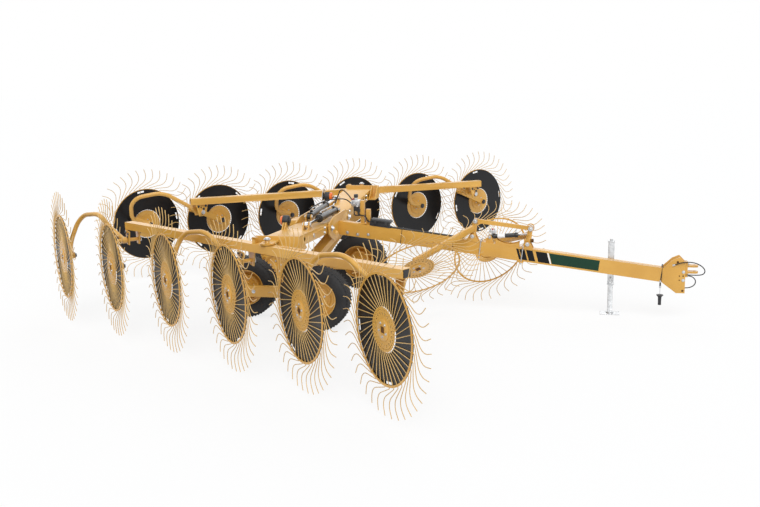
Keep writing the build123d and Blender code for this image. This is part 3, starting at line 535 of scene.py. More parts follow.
def make_rim():
    inner, thick = RIM_OUTER - RIM_WIDTH, RIM_THICK
    low = 0.0033
    band = turned(
        [
            (inner, low + 0.001), (inner + 0.001, low), (RIM_OUTER - 0.001, low),
            (RIM_OUTER, low + 0.001), (RIM_OUTER, low + thick - 0.001),
            (RIM_OUTER - 0.001, low + thick), (inner + 0.001, low + thick),
            (inner, low + thick - 0.001),
        ],
        120,
    )
    middle = RIM_OUTER - RIM_WIDTH / 2
    clip = block((middle, 0, low - 0.0035), (0.015, 0.012, 0.012), 0.0015)
    nub = rod((middle, 0, low + thick - 0.001), (middle, 0, low + thick + 0.003), 0.005, 8, 0.001)
    return joined(band, copies(joined(clip, nub), TINES))


def make_hub():
    holes = [circle_points(0.0068, 8, polar(0.158, 9 * k).xy) for k in range(40)]
    holes += [circle_points(0.0115, 10, polar(0.131, 18 * k + 5).xy) for k in range(20)]
    disc = cut_plate(circle_points(HUB_R, 96), 0.004, holes)
    back = moved(cut_plate(circle_points(HUB_SHADE_R, 64), 0.0010), Matrix.Translation((0, 0, -0.0022)))
    plate = moved(cut_plate(circle_points(0.120, 64), 0.004), Matrix.Translation((0, 0, -0.0110)))
    face = turned([(0.0, 0.004), (0.090, 0.004), (0.090, 0.0085), (0.086, 0.0105), (0.0, 0.0105)], 48)
    drum = rod((0, 0, -WHEEL_BOSS_BACK), (0, 0, -0.009), BOSS_R, 40, 0.003)
    flange = rod((0, 0, -0.020), (0, 0, -0.0105), 0.076, 40, 0.002)
    lip = turned([(0.036, 0.0100), (0.042, 0.0100), (0.042, 0.0135), (0.036, 0.0135)], 40)
    return joined(disc, back, plate, face, drum, flange, lip)


def make_hub_shade():
    """Painted shade: the dark ground behind the hub's holes, and a dark square that stands for the shade in
    the square recess in its middle.
    """
    ground = moved(cut_plate(circle_points(HUB_SHADE_R, 64), 0.0010), Matrix.Translation((0, 0, -0.0011)))
    return joined(ground, block((0, 0, 0.0108), (0.050, 0.050, 0.0030), 0.001))


def make_hub_bolts():
    head = rod((0.058, 0, 0.009), (0.058, 0, 0.017), 0.0085, 6, 0.001)
    washer = rod((0.058, 0, 0.009), (0.058, 0, 0.0108), 0.012, 16)
    stud = rod((0.058, 0, 0.016), (0.058, 0, 0.0205), 0.0045, 10)
    nut = rod((0.058, 0, -0.030), (0.058, 0, -0.020), 0.0085, 6, 0.001)
    return moved(copies(joined(head, washer, stud, nut), 5), Matrix.Rotation(math.radians(14), 4, "Z"))


def make_guard():
    half, width = SLOT_LENGTH / 2, SLOT_WIDTH / 2
    slots = []
    for k in range(4):
        turn = Matrix.Rotation(math.radians(90 * k + 8), 2)
        corners = [(-width, -half), (width, -half), (width, half), (-width, half)]
        slots.append([tuple(turn @ Vector((SLOT_R + x, y))) for x, y in corners])
    sheet = cut_plate(circle_points(GUARD_R, 96), GUARD_THICK, [circle_points(GUARD_HOLE_R, 64), *slots])
    edge = [(-0.001, -0.002), (0.002, -0.002), (0.002, 0.001), (-0.001, 0.001)]
    roll = turned([(GUARD_HOLE_R + out, up) for out, up in edge], 72)
    return moved(joined(sheet, roll), Matrix.Translation((0, 0, -GUARD_BACK)))


def wheel_place(joint, way):
    """The matrix from a wheel lying on XY to its place, mirrored for the left side."""
    spot, axis = Vector(joint["pos_m"]), Vector(joint["axis"])
    mirror = Matrix.Diagonal((1, -way, 1, 1))
    spot, axis = mirror @ spot, mirror.to_3x3() @ axis
    up = (Vector((0, 0, 1)) - axis * axis.z).normalized()
    return mirror @ facing(spot, axis, up.cross(axis))


def make_rake_wheels():
    makers = (make_tines, make_rim, make_hub, make_hub_shade, make_hub_bolts, make_guard)
    tines, rim, hub, shade, bolts, guard = (kept_mesh(make()) for make in makers)
    for side, way in SIDES:
        places = [(f"{side}_wheel_{k}", f"{side}_guard_{k}", f"{side}_rake_{k}") for k in range(1, 7)]
        places.append((f"{side}_kicker_wheel", None, f"{side}_kicker_reel"))
        for number, (node, guard_node, body) in enumerate(places):
            joint = next(j for j in frame["joints"] if j["child"] == body)
            turn = Matrix.Rotation(math.radians(GUARD_STEP * number), 4, "Z")
            place = wheel_place(joint, way) @ turn
            spread(tines, f"{node}_tines", place, TINE_YELLOW, body, [node])
            spread(rim, f"{node}_rim", place, YELLOW, body)
            spread(hub, f"{node}_hub", place, YELLOW, body)
            # Painted shade behind the hub's holes and in its square recess.
            spread(shade, f"{node}_hub_shade", place, HOLE_SHADE_AND_STOP_BROWN, body)
            spread(bolts, f"{node}_bolts", place, ZINC, body)
            if guard_node:
                spread(guard, f"{guard_node}_sheet", place, SHEET_BLACK, body, [guard_node])


# Road wheels, made on XY with the outer face up
def tyre_profile():
    half, outer = TYRE_HALF, TYRE_R
    side = [
        (RIM_SEAT_R + 0.001, half * 0.70), (RIM_SEAT_R + 0.012, half * 0.80),
        (RIM_SEAT_R + 0.022, half * 0.83), (RIM_SEAT_R + 0.026, half * 0.90),
        (RIM_SEAT_R + 0.060, half * 0.99), (RIM_SEAT_R + 0.080, half * 1.00),
        (RIM_SEAT_R + 0.084, half * 0.985), (RIM_SEAT_R + 0.088, half * 0.995),
        (outer - 0.038, half * 0.95), (outer - 0.020, half * 0.88), (outer - 0.008, half * 0.78),
        (outer - 0.003, half * 0.66),
    ]
    groove = 0.008
    tread = []
    for middle in (0.46, 0.155):
        tread += [
            (outer - 0.001, half * (middle + 0.05)),
            (outer - groove, half * (middle + 0.035)),
            (outer - groove, half * (middle - 0.035)),
            (outer, half * (middle - 0.05)),
        ]
    upper = side + tread
    lower = [(r, -z) for r, z in reversed(upper)]
    return upper + lower


def make_tyre():
    tyre = turned(tyre_profile(), 72)
    sipe = block((TYRE_R - 0.004, 0, TYRE_HALF * 0.74), (0.012, 0.010, 0.030), 0.001)
    twin = block((TYRE_R - 0.004, 0.010, -TYRE_HALF * 0.74), (0.012, 0.010, 0.030), 0.001)
    return joined(tyre, copies(joined(sipe, twin), 56))


def make_road_rim():
    half = TYRE_HALF * 0.72
    seat = RIM_SEAT_R
    barrel = turned(
        [
            (seat - 0.006, half), (seat + 0.010, half + 0.002), (seat + 0.010, half - 0.002),
            (seat - 0.001, half - 0.006), (seat - 0.001, -half + 0.006),
            (seat + 0.010, -half + 0.002), (seat + 0.010, -half - 0.002), (seat - 0.006, -half),
            (seat - 0.010, -half + 0.010), (seat - 0.010, half - 0.010),
        ],
        64,
    )
    holes = [circle_points(0.007, 10, polar(0.070, 72 * k).xy) for k in range(5)]
    centre = cut_plate(circle_points(0.098, 48), 0.005, holes)
    dish = turned(
        [
            (0.094, 0.0), (0.108, -0.006), (0.124, -0.002), (0.136, 0.022), (0.150, 0.030),
            (0.186, 0.024), (0.186, 0.020), (0.150, 0.025), (0.139, 0.018), (0.127, -0.006),
            (0.108, -0.011), (0.094, -0.005),
        ],
        64,
    )
    hub = turned([(0.0, -0.050), (0.050, -0.050), (0.052, -0.046), (0.052, 0.0), (0.0, 0.0)], 40)
    cap = turned([(0.0, 0.005), (0.036, 0.005), (0.036, 0.034), (0.031, 0.042), (0.0, 0.045)], 40)
    return joined(barrel, centre, dish, hub, cap)


def make_lug_nuts():
    nut = rod((0.070, 0, 0.004), (0.070, 0, 0.020), 0.0105, 6, 0.0015)
    stud = rod((0.070, 0, 0.018), (0.070, 0, 0.026), 0.006, 10)
    return copies(joined(nut, stud), 5)


def make_road_wheels():
    tyre, rim, nuts = (kept_mesh(make()) for make in (make_tyre, make_road_rim, make_lug_nuts))
    for side, way in SIDES:
        for end, outward in (("rear", 1), ("front", -1)):
            body = f"{side}_{end}_wheel"
            spot = Vector(JOINTS[f"{body}_spin"]["pos_m"])
            place = facing(spot, (0, -way * outward, 0))
            spread(tyre, f"{side}_{end}_tyre_treaded", place, RUBBER, body, [f"{side}_{end}_tyre"])
            spread(rim, f"{side}_{end}_rim_pressed", place, YELLOW, body, [f"{side}_{end}_rim"])
            spread(nuts, f"{side}_{end}_lug_nuts", place, ZINC, body)


# Welded and cut steel: each solid keeps its form, with its edges eased
def ease_edges(node, material, width=0.0025):
    body = frame["nodes"][node]["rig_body"]
    shape = bmesh.new()
    shape.from_mesh(frame["nodes"][node].data)
    bmesh.ops.remove_doubles(shape, verts=shape.verts, dist=1e-5)
    bmesh.ops.dissolve_limit(
        shape, angle_limit=math.radians(0.6), verts=shape.verts, edges=shape.edges, delimit={"NORMAL"}
    )
    rounded(shape, width, 2, 40, 4 * width)
    finish_piece(f"{node}_finished", shape, material, body, [node])


def finish_steelwork():
    for side, _ in SIDES:
        ease_edges(f"{side}_beam", YELLOW, 0.005)
        ease_edges(f"{side}_beam_plug", PLASTIC_BLACK)
        ease_edges(f"{side}_wheel_arms", YELLOW)
        ease_edges(f"{side}_lift_arm", YELLOW)
        ease_edges(f"{side}_lift_barrel", PAINT_BLACK)
        ease_edges(f"{side}_lift_rod", CHROME)
        ease_edges(f"{side}_kicker_arm", YELLOW)
    for node in ("carriage", "tongue", "walking_beams", "hitch_clevis", "kicker_link"):
        ease_edges(node, YELLOW)
    ease_edges("kicker_ram_barrel", PAINT_BLACK)
    ease_edges("kicker_ram_rod", CHROME)
    ease_edges("jack_tube", ZINC)
    ease_edges("jack_leg", ZINC)
    ease_edges("tool_box", PLASTIC_BLACK, 0.004)


# Fasteners and fittings: small shapes that several pieces use
def stub(place, way, start, end, radius, sides=24, edge=0.0):
    """A rod on the line through a place, between two distances along it."""
    return rod(place + way * start, place + way * end, radius, sides, edge)


def hex_bolt(place, along, size, length=0.0, washer=True):
    """A bolt head that stands on a face, with a washer under it."""
    place, along = Vector(place), Vector(along).normalized()
    tall = length or size * 0.65
    head = rod(place, place + along * tall, size / 2 * 1.15, 6, size * 0.06)
    if not washer:
        return head
    return joined(head, rod(place - along * 0.001, place + along * size * 0.14, size * 0.85, 20))


def round_head(place, along, size, tall):
    place, along = Vector(place), Vector(along).normalized()
    return rod(place, place + along * tall, size / 2, 20, tall * 0.3)


def hose_path(*corners):
    """A hose's line: each inner corner is rounded as far as its runs allow."""
    corners = [Vector(c) for c in corners]
    lengths = [(b - a).length for a, b in zip(corners, corners[1:])]
    return bent(corners, [0.48 * min(pair) for pair in zip(lengths, lengths[1:])], 8)


def elbow(place, up, out, size=0.011):
    """A hydraulic elbow: its nut on the port and the nut that takes the hose."""
    place, up, out = Vector(place), Vector(up).normalized(), Vector(out).normalized()
    corner = place + up * size * 2.2
    end = corner + out * size * 2.4
    pipe = wire(bent([place, corner, end], [size], 4), size * 0.55, 10)
    base = rod(place, place + up * size, size, 6, 0.0008)
    nut = rod(end - out * size * 0.8, end + out * size * 0.4, size, 6, 0.0008)
    return joined(pipe, base, nut)


# Tongue: colour films, hoses, ties, clamps and the fittings that stand on it
TONGUE_RUN = Vector((math.cos(TONGUE_SLOPE), 0, -math.sin(TONGUE_SLOPE)))
TONGUE_RISE = Vector((math.sin(TONGUE_SLOPE), 0, math.cos(TONGUE_SLOPE)))
TONGUE_TOP = TONGUE_DEPTH / 2
GROMMET = [(0.0066, -0.004), (0.013, -0.004), (0.013, 0.003), (0.010, 0.005), (0.0066, 0.005)]


def on_tongue(x, across=0.0, up=0.0):
    """A point of the tongue, from its middle line: across to the left and up square to it."""
    return Vector((x, across, TONGUE_Z - (x - TONGUE_X) * math.tan(TONGUE_SLOPE))) + TONGUE_RISE * up


def side_plane():
    """The matrix that lays a flat outline of (along, up) points against the tongue's right side."""
    return Matrix((TONGUE_RUN, TONGUE_RISE, Vector((0, -1, 0)))).transposed().to_4x4()


def tongue_film(outline, way):
    """A thin film on the tongue's right or left side, cut to its outline."""
    place = side_plane()
    place.translation = on_tongue(0, -TONGUE_WIDTH / 2)
    return moved(cut_plate(outline, FILM), Matrix.Diagonal((1, -way, 1, 1)) @ place)


def slanted(rear, front, lean=BAND_SLANT):
    return [(rear, BAND_HIGH), (front, BAND_HIGH), (front + lean, BAND_LOW), (rear + BAND_SLANT, BAND_LOW)]


def make_tongue_bands():
    for side, way in SIDES:
        bands = [tongue_film(slanted(*band), way) for band in BLACK_BANDS]
        finish_piece(f"{side}_tongue_bands", bands, DECAL_BLACK)
        finish_piece(f"{side}_tongue_line", tongue_film(slanted(*WHITE_BAND), way), DECAL_WHITE)
        panel = tongue_film(slanted(*GREEN_BAND, lean=0.0), way)
        finish_piece(f"{side}_tongue_panel", panel, DECAL_GREEN)


def make_tongue_hoses(valve):
    """The pair of hoses on top of the tongue, from the tool box to where they dive into the tube."""
    lie = TONGUE_TOP + HOSE_R + 0.0005
    hoses, rings = [], []
    for way in (-1, 1):
        across = way * HOSE_ACROSS
        steps = [TOOL_BOX_FRONT + (HOSE_DIVE_X - TOOL_BOX_FRONT) * k / 12 for k in range(12)]
        line = [on_tongue(x, across + 0.003 * math.sin(6 * x + way), lie) for x in steps]
        for back, sink in ((0.016, 0.001), (0.004, 0.008), (0.0, 0.020)):
            line.append(on_tongue(HOSE_DIVE_X - back, across, lie - sink))
        hoses.append(wire(line, HOSE_R, 10))
        place = facing(on_tongue(HOSE_DIVE_X, across, TONGUE_TOP), TONGUE_RISE)
        rings.append(moved(turned(GROMMET, 24), place))
        box_side = on_tongue(TOOL_BOX_REAR, way * 0.026, TONGUE_TOP + 0.040)
        start = valve + Vector((0.020 * way, way * 0.020, -0.088))
        corners = [
            start,
            start - Vector((0, -way * 0.004, 0.050)),
            box_side + Vector((-0.060, way * 0.030, 0.075)),
            box_side + Vector((-0.040, way * 0.010, 0)),
            box_side,
        ]
        hoses.append(wire(hose_path(*corners), HOSE_R, 10))
    finish_piece("tongue_hoses", hoses, HOSE)
    finish_piece("hose_grommets", rings, PLASTIC_BLACK)
    half, tall = TONGUE_WIDTH / 2 + 0.003, TONGUE_TOP + 0.003
    loop = ((0, tall + 0.013), (half, tall + 0.010), (half, -tall), (-half, -tall), (-half, tall + 0.010))
    ties = []
    for x in TIE_PLACES:
        corners = [on_tongue(x, y, z) for y, z in (*loop, loop[0])]
        ties.append(wire(bent(corners, [0.006] * 4, 3), TIE_R, 6))
    finish_piece("tongue_ties", ties, PLASTIC_BLACK)


def make_clamp_bolts():
    """U-bolts that hold the centre wheels' bearings down, over the tongue and through a plate below it."""
    rods, nuts, plates = [], [], []
    half, top, low = TONGUE_WIDTH / 2 + 0.009, TONGUE_TOP + 0.026, -TONGUE_TOP - 0.034
    for x in CLAMP_PLACES:
        corners = [(half, low), (half, top), (-half, top), (-half, low)]
        path = bent([on_tongue(x, y, z) for y, z in corners], [0.022, 0.022], 5)
        rods.append(wire(path, 0.0065, 10))
        plate = block((0, 0, 0), (0.055, 2 * half + 0.036, 0.011), 0.002)
        plates.append(moved(plate, facing(on_tongue(x, 0, -TONGUE_TOP - 0.006), TONGUE_RISE, TONGUE_RUN)))
        for side in (-1, 1):
            nuts.append(hex_bolt(on_tongue(x, side * half, -TONGUE_TOP - 0.012), -TONGUE_RISE, 0.020))
            nuts.append(round_head(on_tongue(x, side * half * 0.6, TONGUE_TOP), TONGUE_RISE, 0.026, 0.012))
    finish_piece("tongue_clamp_rods", rods + nuts, ZINC)
    finish_piece("tongue_clamp_plates", plates, YELLOW)


def make_masts():
    """The two uprights behind the tool box, and the flow divider that the rear one carries."""
    rear = on_tongue(MAST_X, 0, TONGUE_TOP)
    near = on_tongue(POST_X, 0, TONGUE_TOP)
    masts = [
        block(rear + UP * 0.130, (0.045, 0.060, 0.27), 0.004),
        block(near + UP * 0.085, (0.050, 0.050, 0.18), 0.004),
        block(rear + UP * 0.008, (0.10, 0.096, 0.012), 0.003),
    ]
    finish_piece("valve_masts", masts, YELLOW)
    # Painted shade: a dark disc on the near mast's side that stands for the shade in its hole.
    hole = rod(near + Vector((0, -0.0255, 0.05)), near + Vector((0, -0.024, 0.05)), 0.009, 16)
    finish_piece("mast_hole_shade", hole, HOLE_SHADE_AND_STOP_BROWN)
    body = rear + Vector((-0.075, 0, 0.235))
    metal = [block(body, (0.095, 0.070, 0.072), 0.003), stub(body, UP, 0, 0.062, 0.017, 24, 0.002)]
    for ahead in (-0.030, 0.0, 0.030):
        for side in (-1, 1):
            face = body + Vector((ahead, side * 0.035, 0.012 * side))
            metal.append(elbow(face, (0, side, 0), (-0.3, side * 0.2, -1 if ahead > 0 else 0.4), 0.0095))
    metal.append(hex_bolt(body + Vector((0.048, 0, 0.015)), AHEAD, 0.024))
    metal.append(hex_bolt(body - AHEAD * 0.048, -AHEAD, 0.028))
    finish_piece("valve_body", metal, ZINC)
    dark = [
        block(body - Vector((-0.005, 0, 0.062)), (0.060, 0.062, 0.054), 0.004),
        stub(body, UP, 0.060, 0.098, 0.024, 24, 0.006),
        stub(body + Vector((0.03, -0.02, 0)), UP, -0.09, -0.13, 0.012, 16, 0.002),
    ]
    finish_piece("valve_solenoids", dark, PLASTIC_BLACK)
    caps = [stub(body + Vector((-0.034, y, 0)), UP, 0.036, 0.052, 0.009, 14, 0.002) for y in (-0.02, 0.02)]
    finish_piece("valve_caps", caps, CAP_RED)
    return body


# Lift cylinders: glands, hard pipes, ports, pins and the hoses that feed them
def cylinder_line(side, out):
    """Where a lift cylinder's barrel turns, the way to its rod's eye, and the way up beside it."""
    base = Vector(JOINTS[f"{side}_lift_barrel_hinge"]["pos_m"])
    along = Vector(JOINTS[f"{side}_lift_rod_slide"]["axis"]).normalized()
    if along.y * out < 0:
        along = -along
    up = along.cross(AHEAD)
    return base, along, up if up.z > 0 else -up


def pin_ends(spot):
    """The round heads of a cylinder's cross pin, each with its split pin."""
    heads = []
    for way in (-1, 1):
        end = spot + AHEAD * (way * PIN_HEAD_X)
        heads.append(stub(end, AHEAD, -way * 0.004, way * 0.004, 0.023))
        outer = end + AHEAD * (way * 0.004)
        heads.append(wire([outer - UP * 0.026, outer + UP * 0.028], 0.0025, 6))
    return heads


def make_cylinder_trim(valve):
    for side, out in SIDES:
        base, along, up = cylinder_line(side, out)
        low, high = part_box(f"{side}_lift_rod")
        eye_y = low.y + EYE_R if side == "right" else high.y - EYE_R
        eye = base + along * ((eye_y - base.y) / along.y)
        head = eye - along * ROD_SHOWN
        body = f"{side}_lift_barrel"
        ports = (base + along * PORT_AHEAD, head - along * PORT_BACK)
        gland = [
            stub(head, along, -0.040, 0.006, BARREL_R + 0.006, 32, 0.002),
            stub(head, along, 0.006, 0.013, ROD_R + 0.011, 24, 0.001),
            stub(base, along, 0.046, 0.075, BARREL_R + 0.004, 32, 0.002),
        ]
        for place in ports:
            boss = block((0, 0, 0), (0.030, 0.030, 0.020), 0.003)
            gland.append(moved(boss, facing(place + up * (BARREL_R + 0.006), up, along)))
        finish_piece(f"{side}_barrel_ends", gland, PAINT_BLACK, body)
        port, far = (place + up * (BARREL_R + 0.016) for place in ports)
        level = port + up * 0.014
        corners = [far, far + up * 0.014, level + along * 0.06, level + along * 0.03]
        pipe = wire(bent(corners, [0.010, 0.010], 5), 0.0052, 10)
        fittings = [elbow(port, up, -along), hex_bolt(far - up * 0.002, up, 0.020, 0.012, False), pipe]
        for share in (0.3, 0.55, 0.8):
            clip = block((0, 0, 0), (0.010, 0.016, 0.010), 0.001)
            fittings.append(moved(clip, facing(port.lerp(far, share) + up * 0.006, up, along)))
        finish_piece(f"{side}_hard_pipe", fittings, ZINC, body)
        collar = [
            stub(eye, along, -0.062, -0.030, ROD_R + 0.009, 24, 0.003),
            stub(eye, along, -0.078, -0.062, ROD_R + 0.004, 6, 0.001),
        ]
        finish_piece(f"{side}_rod_end", collar, PAINT_BLACK, f"{side}_lift_rod")
        finish_piece(f"{side}_eye_pin_ends", pin_ends(eye), ZINC, f"{side}_lift")
        finish_piece(f"{side}_base_pin_ends", pin_ends(base), ZINC)
        reach = port + up * 0.024 - along * 0.026
        start = valve + Vector((-0.045, -0.045 * out, 0.0))
        over = reach.lerp(start, 0.4) + UP * (0.13 - 0.05 * out)
        near = reach - along * 0.07 + up * 0.01
        path = hose_path(start, start + Vector((-0.05, -out * 0.05, 0.06)), over, near, reach)
        hose = finish_shape(f"{side}_cylinder_hose", wire(path, HOSE_R, 10), HOSE)
        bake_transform(hose)


# Lift arms: amber lamps, each on a foot of its own, and the bolts on the arms
def make_lamps():
    for side, way in SIDES:
        middle = Vector((LAMP_X, way * LAMP_Y, LAMP_Z))
        ahead = Vector((way, 0, 0))
        body = f"{side}_lift"
        shell = [
            stub(middle, ahead, -0.040, 0.024, LAMP_R, 36, 0.008),
            block(middle - UP * 0.060, (0.040, 0.060, 0.060), 0.004),
            stub(middle, ahead, -0.052, -0.040, LAMP_R * 0.6, 24, 0.004),
        ]
        finish_piece(f"{side}_lamp_shell", shell, PLASTIC_BLACK, body)
        dome = [(0.0, 0.0), (0.048, 0.0), (0.048, 0.014), (0.042, 0.022), (0.024, 0.026), (0.0, 0.027)]
        ridges = copies(block((0.030, 0, 0.0235), (0.020, 0.003, 0.004), 0.001), 16)
        lens = moved(joined(turned(dome, 40), ridges), facing(middle + ahead * 0.024, ahead))
        finish_piece(f"{side}_lamp_lens", lens, AMBER, body)
        if side == "left":
            plate = turned([(0.0, 0.0), (0.088, 0.0), (0.092, 0.003), (0.088, 0.006), (0.0, 0.006)], 56)
            steps = [[(r, 0.006), (r + 0.004, 0.006), (r + 0.002, 0.009)] for r in (0.03, 0.05, 0.07)]
            rings = [turned(step, 56) for step in steps]
            back = moved(joined(plate, *rings), facing(middle - ahead * 0.052, -ahead))
            finish_piece(f"{side}_lamp_back", back, ZINC, body)


def arm_z(y):
    """The height of the lift arms' middle line, a distance out from the machine's middle."""
    return ARM_HINGE_Z + (y - ARM_HINGE_Y) * ARM_RISE


def make_lift_arm_trim():
    """Four bolts and a round cap on each lift arm's front, and the head of its swing pin."""
    for side, way in SIDES:
        bolts = []
        for y, above in ((0.56, 0.026), (0.56, -0.026), (1.46, 0.026), (1.46, -0.026)):
            bolts.append(hex_bolt((ARM_FRONT_X, way * y, arm_z(y) + above), AHEAD, 0.022))
        bolts.append(round_head((ARM_FRONT_X, way * 0.98, arm_z(0.98)), AHEAD, 0.044, 0.008))
        swing = Vector(JOINTS[f"{side}_swing"]["pos_m"])
        bolts.append(hex_bolt((swing.x, swing.y, SWING_PIN_TOP), UP, 0.040, 0.018))
        finish_piece(f"{side}_arm_bolts", bolts, ZINC, f"{side}_lift")


# Beams: bracket bolts, painted shade in the bracket holes, the arm pins' ends and the spindle nuts
def row_point(along, inward, height):
    """A point by the right row: along it from the rear wheel, inward, and up from the ground."""
    first = Vector(JOINTS["right_rake_1_spin"]["pos_m"])
    run = (Vector(JOINTS["right_rake_2_spin"]["pos_m"]) - first).normalized()
    spot = first + run * along + UP.cross(run) * inward
    spot.z = height + FLOOR_Z
    return spot


def make_bracket_trim():
    """Made for the right beam and mirrored for the left."""
    outward = Vector(JOINTS["right_rake_1_spin"]["axis"])
    if outward.y > 0:
        outward = -outward
    forward = UP.cross(outward)
    bolts, holes, ends = [], [], []
    for index in range(3):
        middle = row_point(BRACKET_FIRST + index * BRACKET_STEP, BRACKET_INSET, BEAM_UNDER)
        for way in (-1, 1):
            face = middle + outward * way * (BRACKET_HALF + 0.0062)
            for dx, dz in ((0.050, -0.024), (-0.050, -0.024), (0.020, -0.060)):
                bolts.append(hex_bolt(face + forward * dx + UP * dz, outward * way, 0.018))
            # Painted shade: dark discs on each bracket face stand for the shade in its two holes.
            for dx, dz in ((-0.015, -0.040), (0.0, -0.125)):
                spot = face + forward * dx + UP * dz
                holes.append(rod(spot, spot + outward * way * 0.0008, 0.010, 16))
        pin = middle - UP * ARM_PIN_DROP - outward * 0.080
        ends.append(rod(pin, pin - outward * 0.006, 0.026, 24, 0.001))
        split = pin + outward * 0.006
        ends.append(wire([split - UP * 0.03, split + UP * 0.032], 0.003, 6))
    for name, shapes, material in (
        ("bracket_bolts", bolts, DARK_STEEL),
        ("bracket_hole_shade", holes, HOLE_SHADE_AND_STOP_BROWN),
        ("arm_pin_ends", ends, ZINC),
    ):
        template = kept_mesh(joined(*shapes))
        for side, way in SIDES:
            mirror = Matrix.Diagonal((1, -way, 1, 1))
            spread(template, f"{side}_{name}", mirror, material, f"{side}_side")


def make_arm_nuts():
    """The dark nut and washer on the inner end of each rake wheel's spindle."""
    for side, way in SIDES:
        nuts = []
        for number in range(1, 7):
            joint = JOINTS[f"{side}_rake_{number}_spin"]
            spot, out = Vector(joint["pos_m"]), Vector(joint["axis"])
            if out.y * way < 0:
                out = -out
            nuts.append(hex_bolt(spot - out * (ARM_OFFSET + ARM_THICK), -out, 0.038, 0.020))
        finish_piece(f"{side}_spindle_nuts", nuts, DARK_STEEL, f"{side}_side")


# Centre wheels' linkage: pins, label, valve and the loop over the front tower
def pin_through(spot, half, size, owner, name):
    heads = [hex_bolt(spot + Vector((0, way * half, 0)), (0, way, 0), size) for way in (-1, 1)]
    finish_piece(name, heads, ZINC, owner)


def make_ram_trim(ram, along):
    up = Vector((-along.z, 0, along.x))
    ring = turned([(0.0243, 0.0), (0.0249, 0.0), (0.0249, 0.080), (0.0243, 0.080)], 40)
    label = moved(ring, facing(ram + along * 0.085, along))
    finish_piece("ram_label", label, DECAL_WHITE, "kicker_ram_barrel")
    length = (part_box("kicker_ram_barrel")[1].x - ram.x) / along.x
    ends = [
        stub(ram, along, length - 0.030, length + 0.006, 0.028, 32, 0.002),
        stub(ram, along, 0.042, 0.062, 0.027, 32, 0.002),
    ]
    finish_piece("ram_ends", ends, PAINT_BLACK, "kicker_ram_barrel")
    ports = [
        elbow(ram + along * 0.060 + up * 0.022, up, (0, 1, 0.2), 0.009),
        elbow(ram + along * (length - 0.016) + up * 0.024, up, (0, 1, 0.2), 0.009),
    ]
    finish_piece("ram_ports", ports, ZINC, "kicker_ram_barrel")


def make_tower_trim(front_top):
    """The hook that loops over the front tower, and the round stop on its seat at the arm's foot."""
    loop = ((-0.034, 0.010), (-0.030, 0.040), (0.0, 0.052), (0.030, 0.040), (0.036, 0.008), (0.030, -0.020))
    hook = wire(hose_path(*[front_top + Vector((dx, 0.006, dz)) for dx, dz in loop]), 0.0055, 10)
    finish_piece("tower_loop", hook, YELLOW, "left_kicker")
    stop = Vector(JOINTS["left_kicker_hinge"]["pos_m"]) + Vector((0.034, 0, 0.030))
    finish_piece("tower_stop", stub(stop, AHEAD, 0, 0.030, 0.021, 24, 0.006), HOLE_SHADE_AND_STOP_BROWN, "left_kicker")
    seat = block(stop - AHEAD * 0.004, (0.012, 0.062, 0.056), 0.003)
    finish_piece("tower_stop_seat", seat, YELLOW, "left_kicker")


def make_tongue_ribs():
    """The two hollow-backed ribs on the tongue between the centre wheels' bearings."""
    rib = [(RIB_REAR, 0.0), (RIB_FRONT, 0.0)]
    for k in range(9):
        rib.append((RIB_FRONT - k * (RIB_FRONT - RIB_REAR) / 8, 0.018 + 0.036 * (2 * k / 8 - 1) ** 2))
    for side, way in SIDES:
        place = side_plane()
        place.translation = on_tongue(0, way * 0.044 + 0.004, TONGUE_TOP - 0.001)
        finish_piece(f"{side}_tongue_rib", moved(cut_plate(rib, 0.008, edge=0.0015), place), YELLOW)


def make_ram_valve(ram):
    """The silver valve over the ram, with its two elbows, its bracket and its red cap."""
    body = ram + Vector((0.030, 0.0, 0.058))
    silver = [
        block(body, (0.080, 0.032, 0.030), 0.002),
        hex_bolt(body - AHEAD * 0.040, (-1, 0, 0.1), 0.020, 0.022, False),
        elbow(body + Vector((0.024, 0, 0.015)), UP, (0, -1, 0.2), 0.008),
        elbow(body + Vector((-0.024, 0, 0.015)), UP, (0, -1, 0.2), 0.008),
        block(ram + Vector((0.030, 0.026, 0.030)), (0.030, 0.008, 0.060), 0.001),
    ]
    finish_piece("ram_valve", silver, ZINC)
    finish_piece("ram_valve_cap", stub(body, UP, 0.015, 0.034, 0.008, 14, 0.002), CAP_RED)


def make_linkage_trim():
    rear_top = Vector(JOINTS["kicker_link_hinge"]["pos_m"])
    rear_foot, front_foot = (Vector(JOINTS[f"{side}_kicker_hinge"]["pos_m"]) for side, _ in SIDES)
    front_top = rear_top + (front_foot - rear_foot)
    pin_through(rear_top, TOWER_PIN_HALF, 0.030, "right_kicker", "rear_tower_pin")
    pin_through(front_top, TOWER_PIN_HALF, 0.030, "left_kicker", "front_tower_pin")
    pin_through(rear_foot, 0.062, 0.026, "chassis", "right_bearing_pin")
    pin_through(front_foot, 0.062, 0.026, "chassis", "left_bearing_pin")
    ram = Vector(JOINTS["kicker_ram_hinge"]["pos_m"])
    pin_through(ram, 0.036, 0.018, "chassis", "ram_base_pin")
    along = Vector(JOINTS["kicker_ram_slide"]["axis"]).normalized()
    make_ram_trim(ram, along if along.x > 0 else -along)
    make_tower_trim(front_top)
    make_tongue_ribs()
    make_ram_valve(ram)
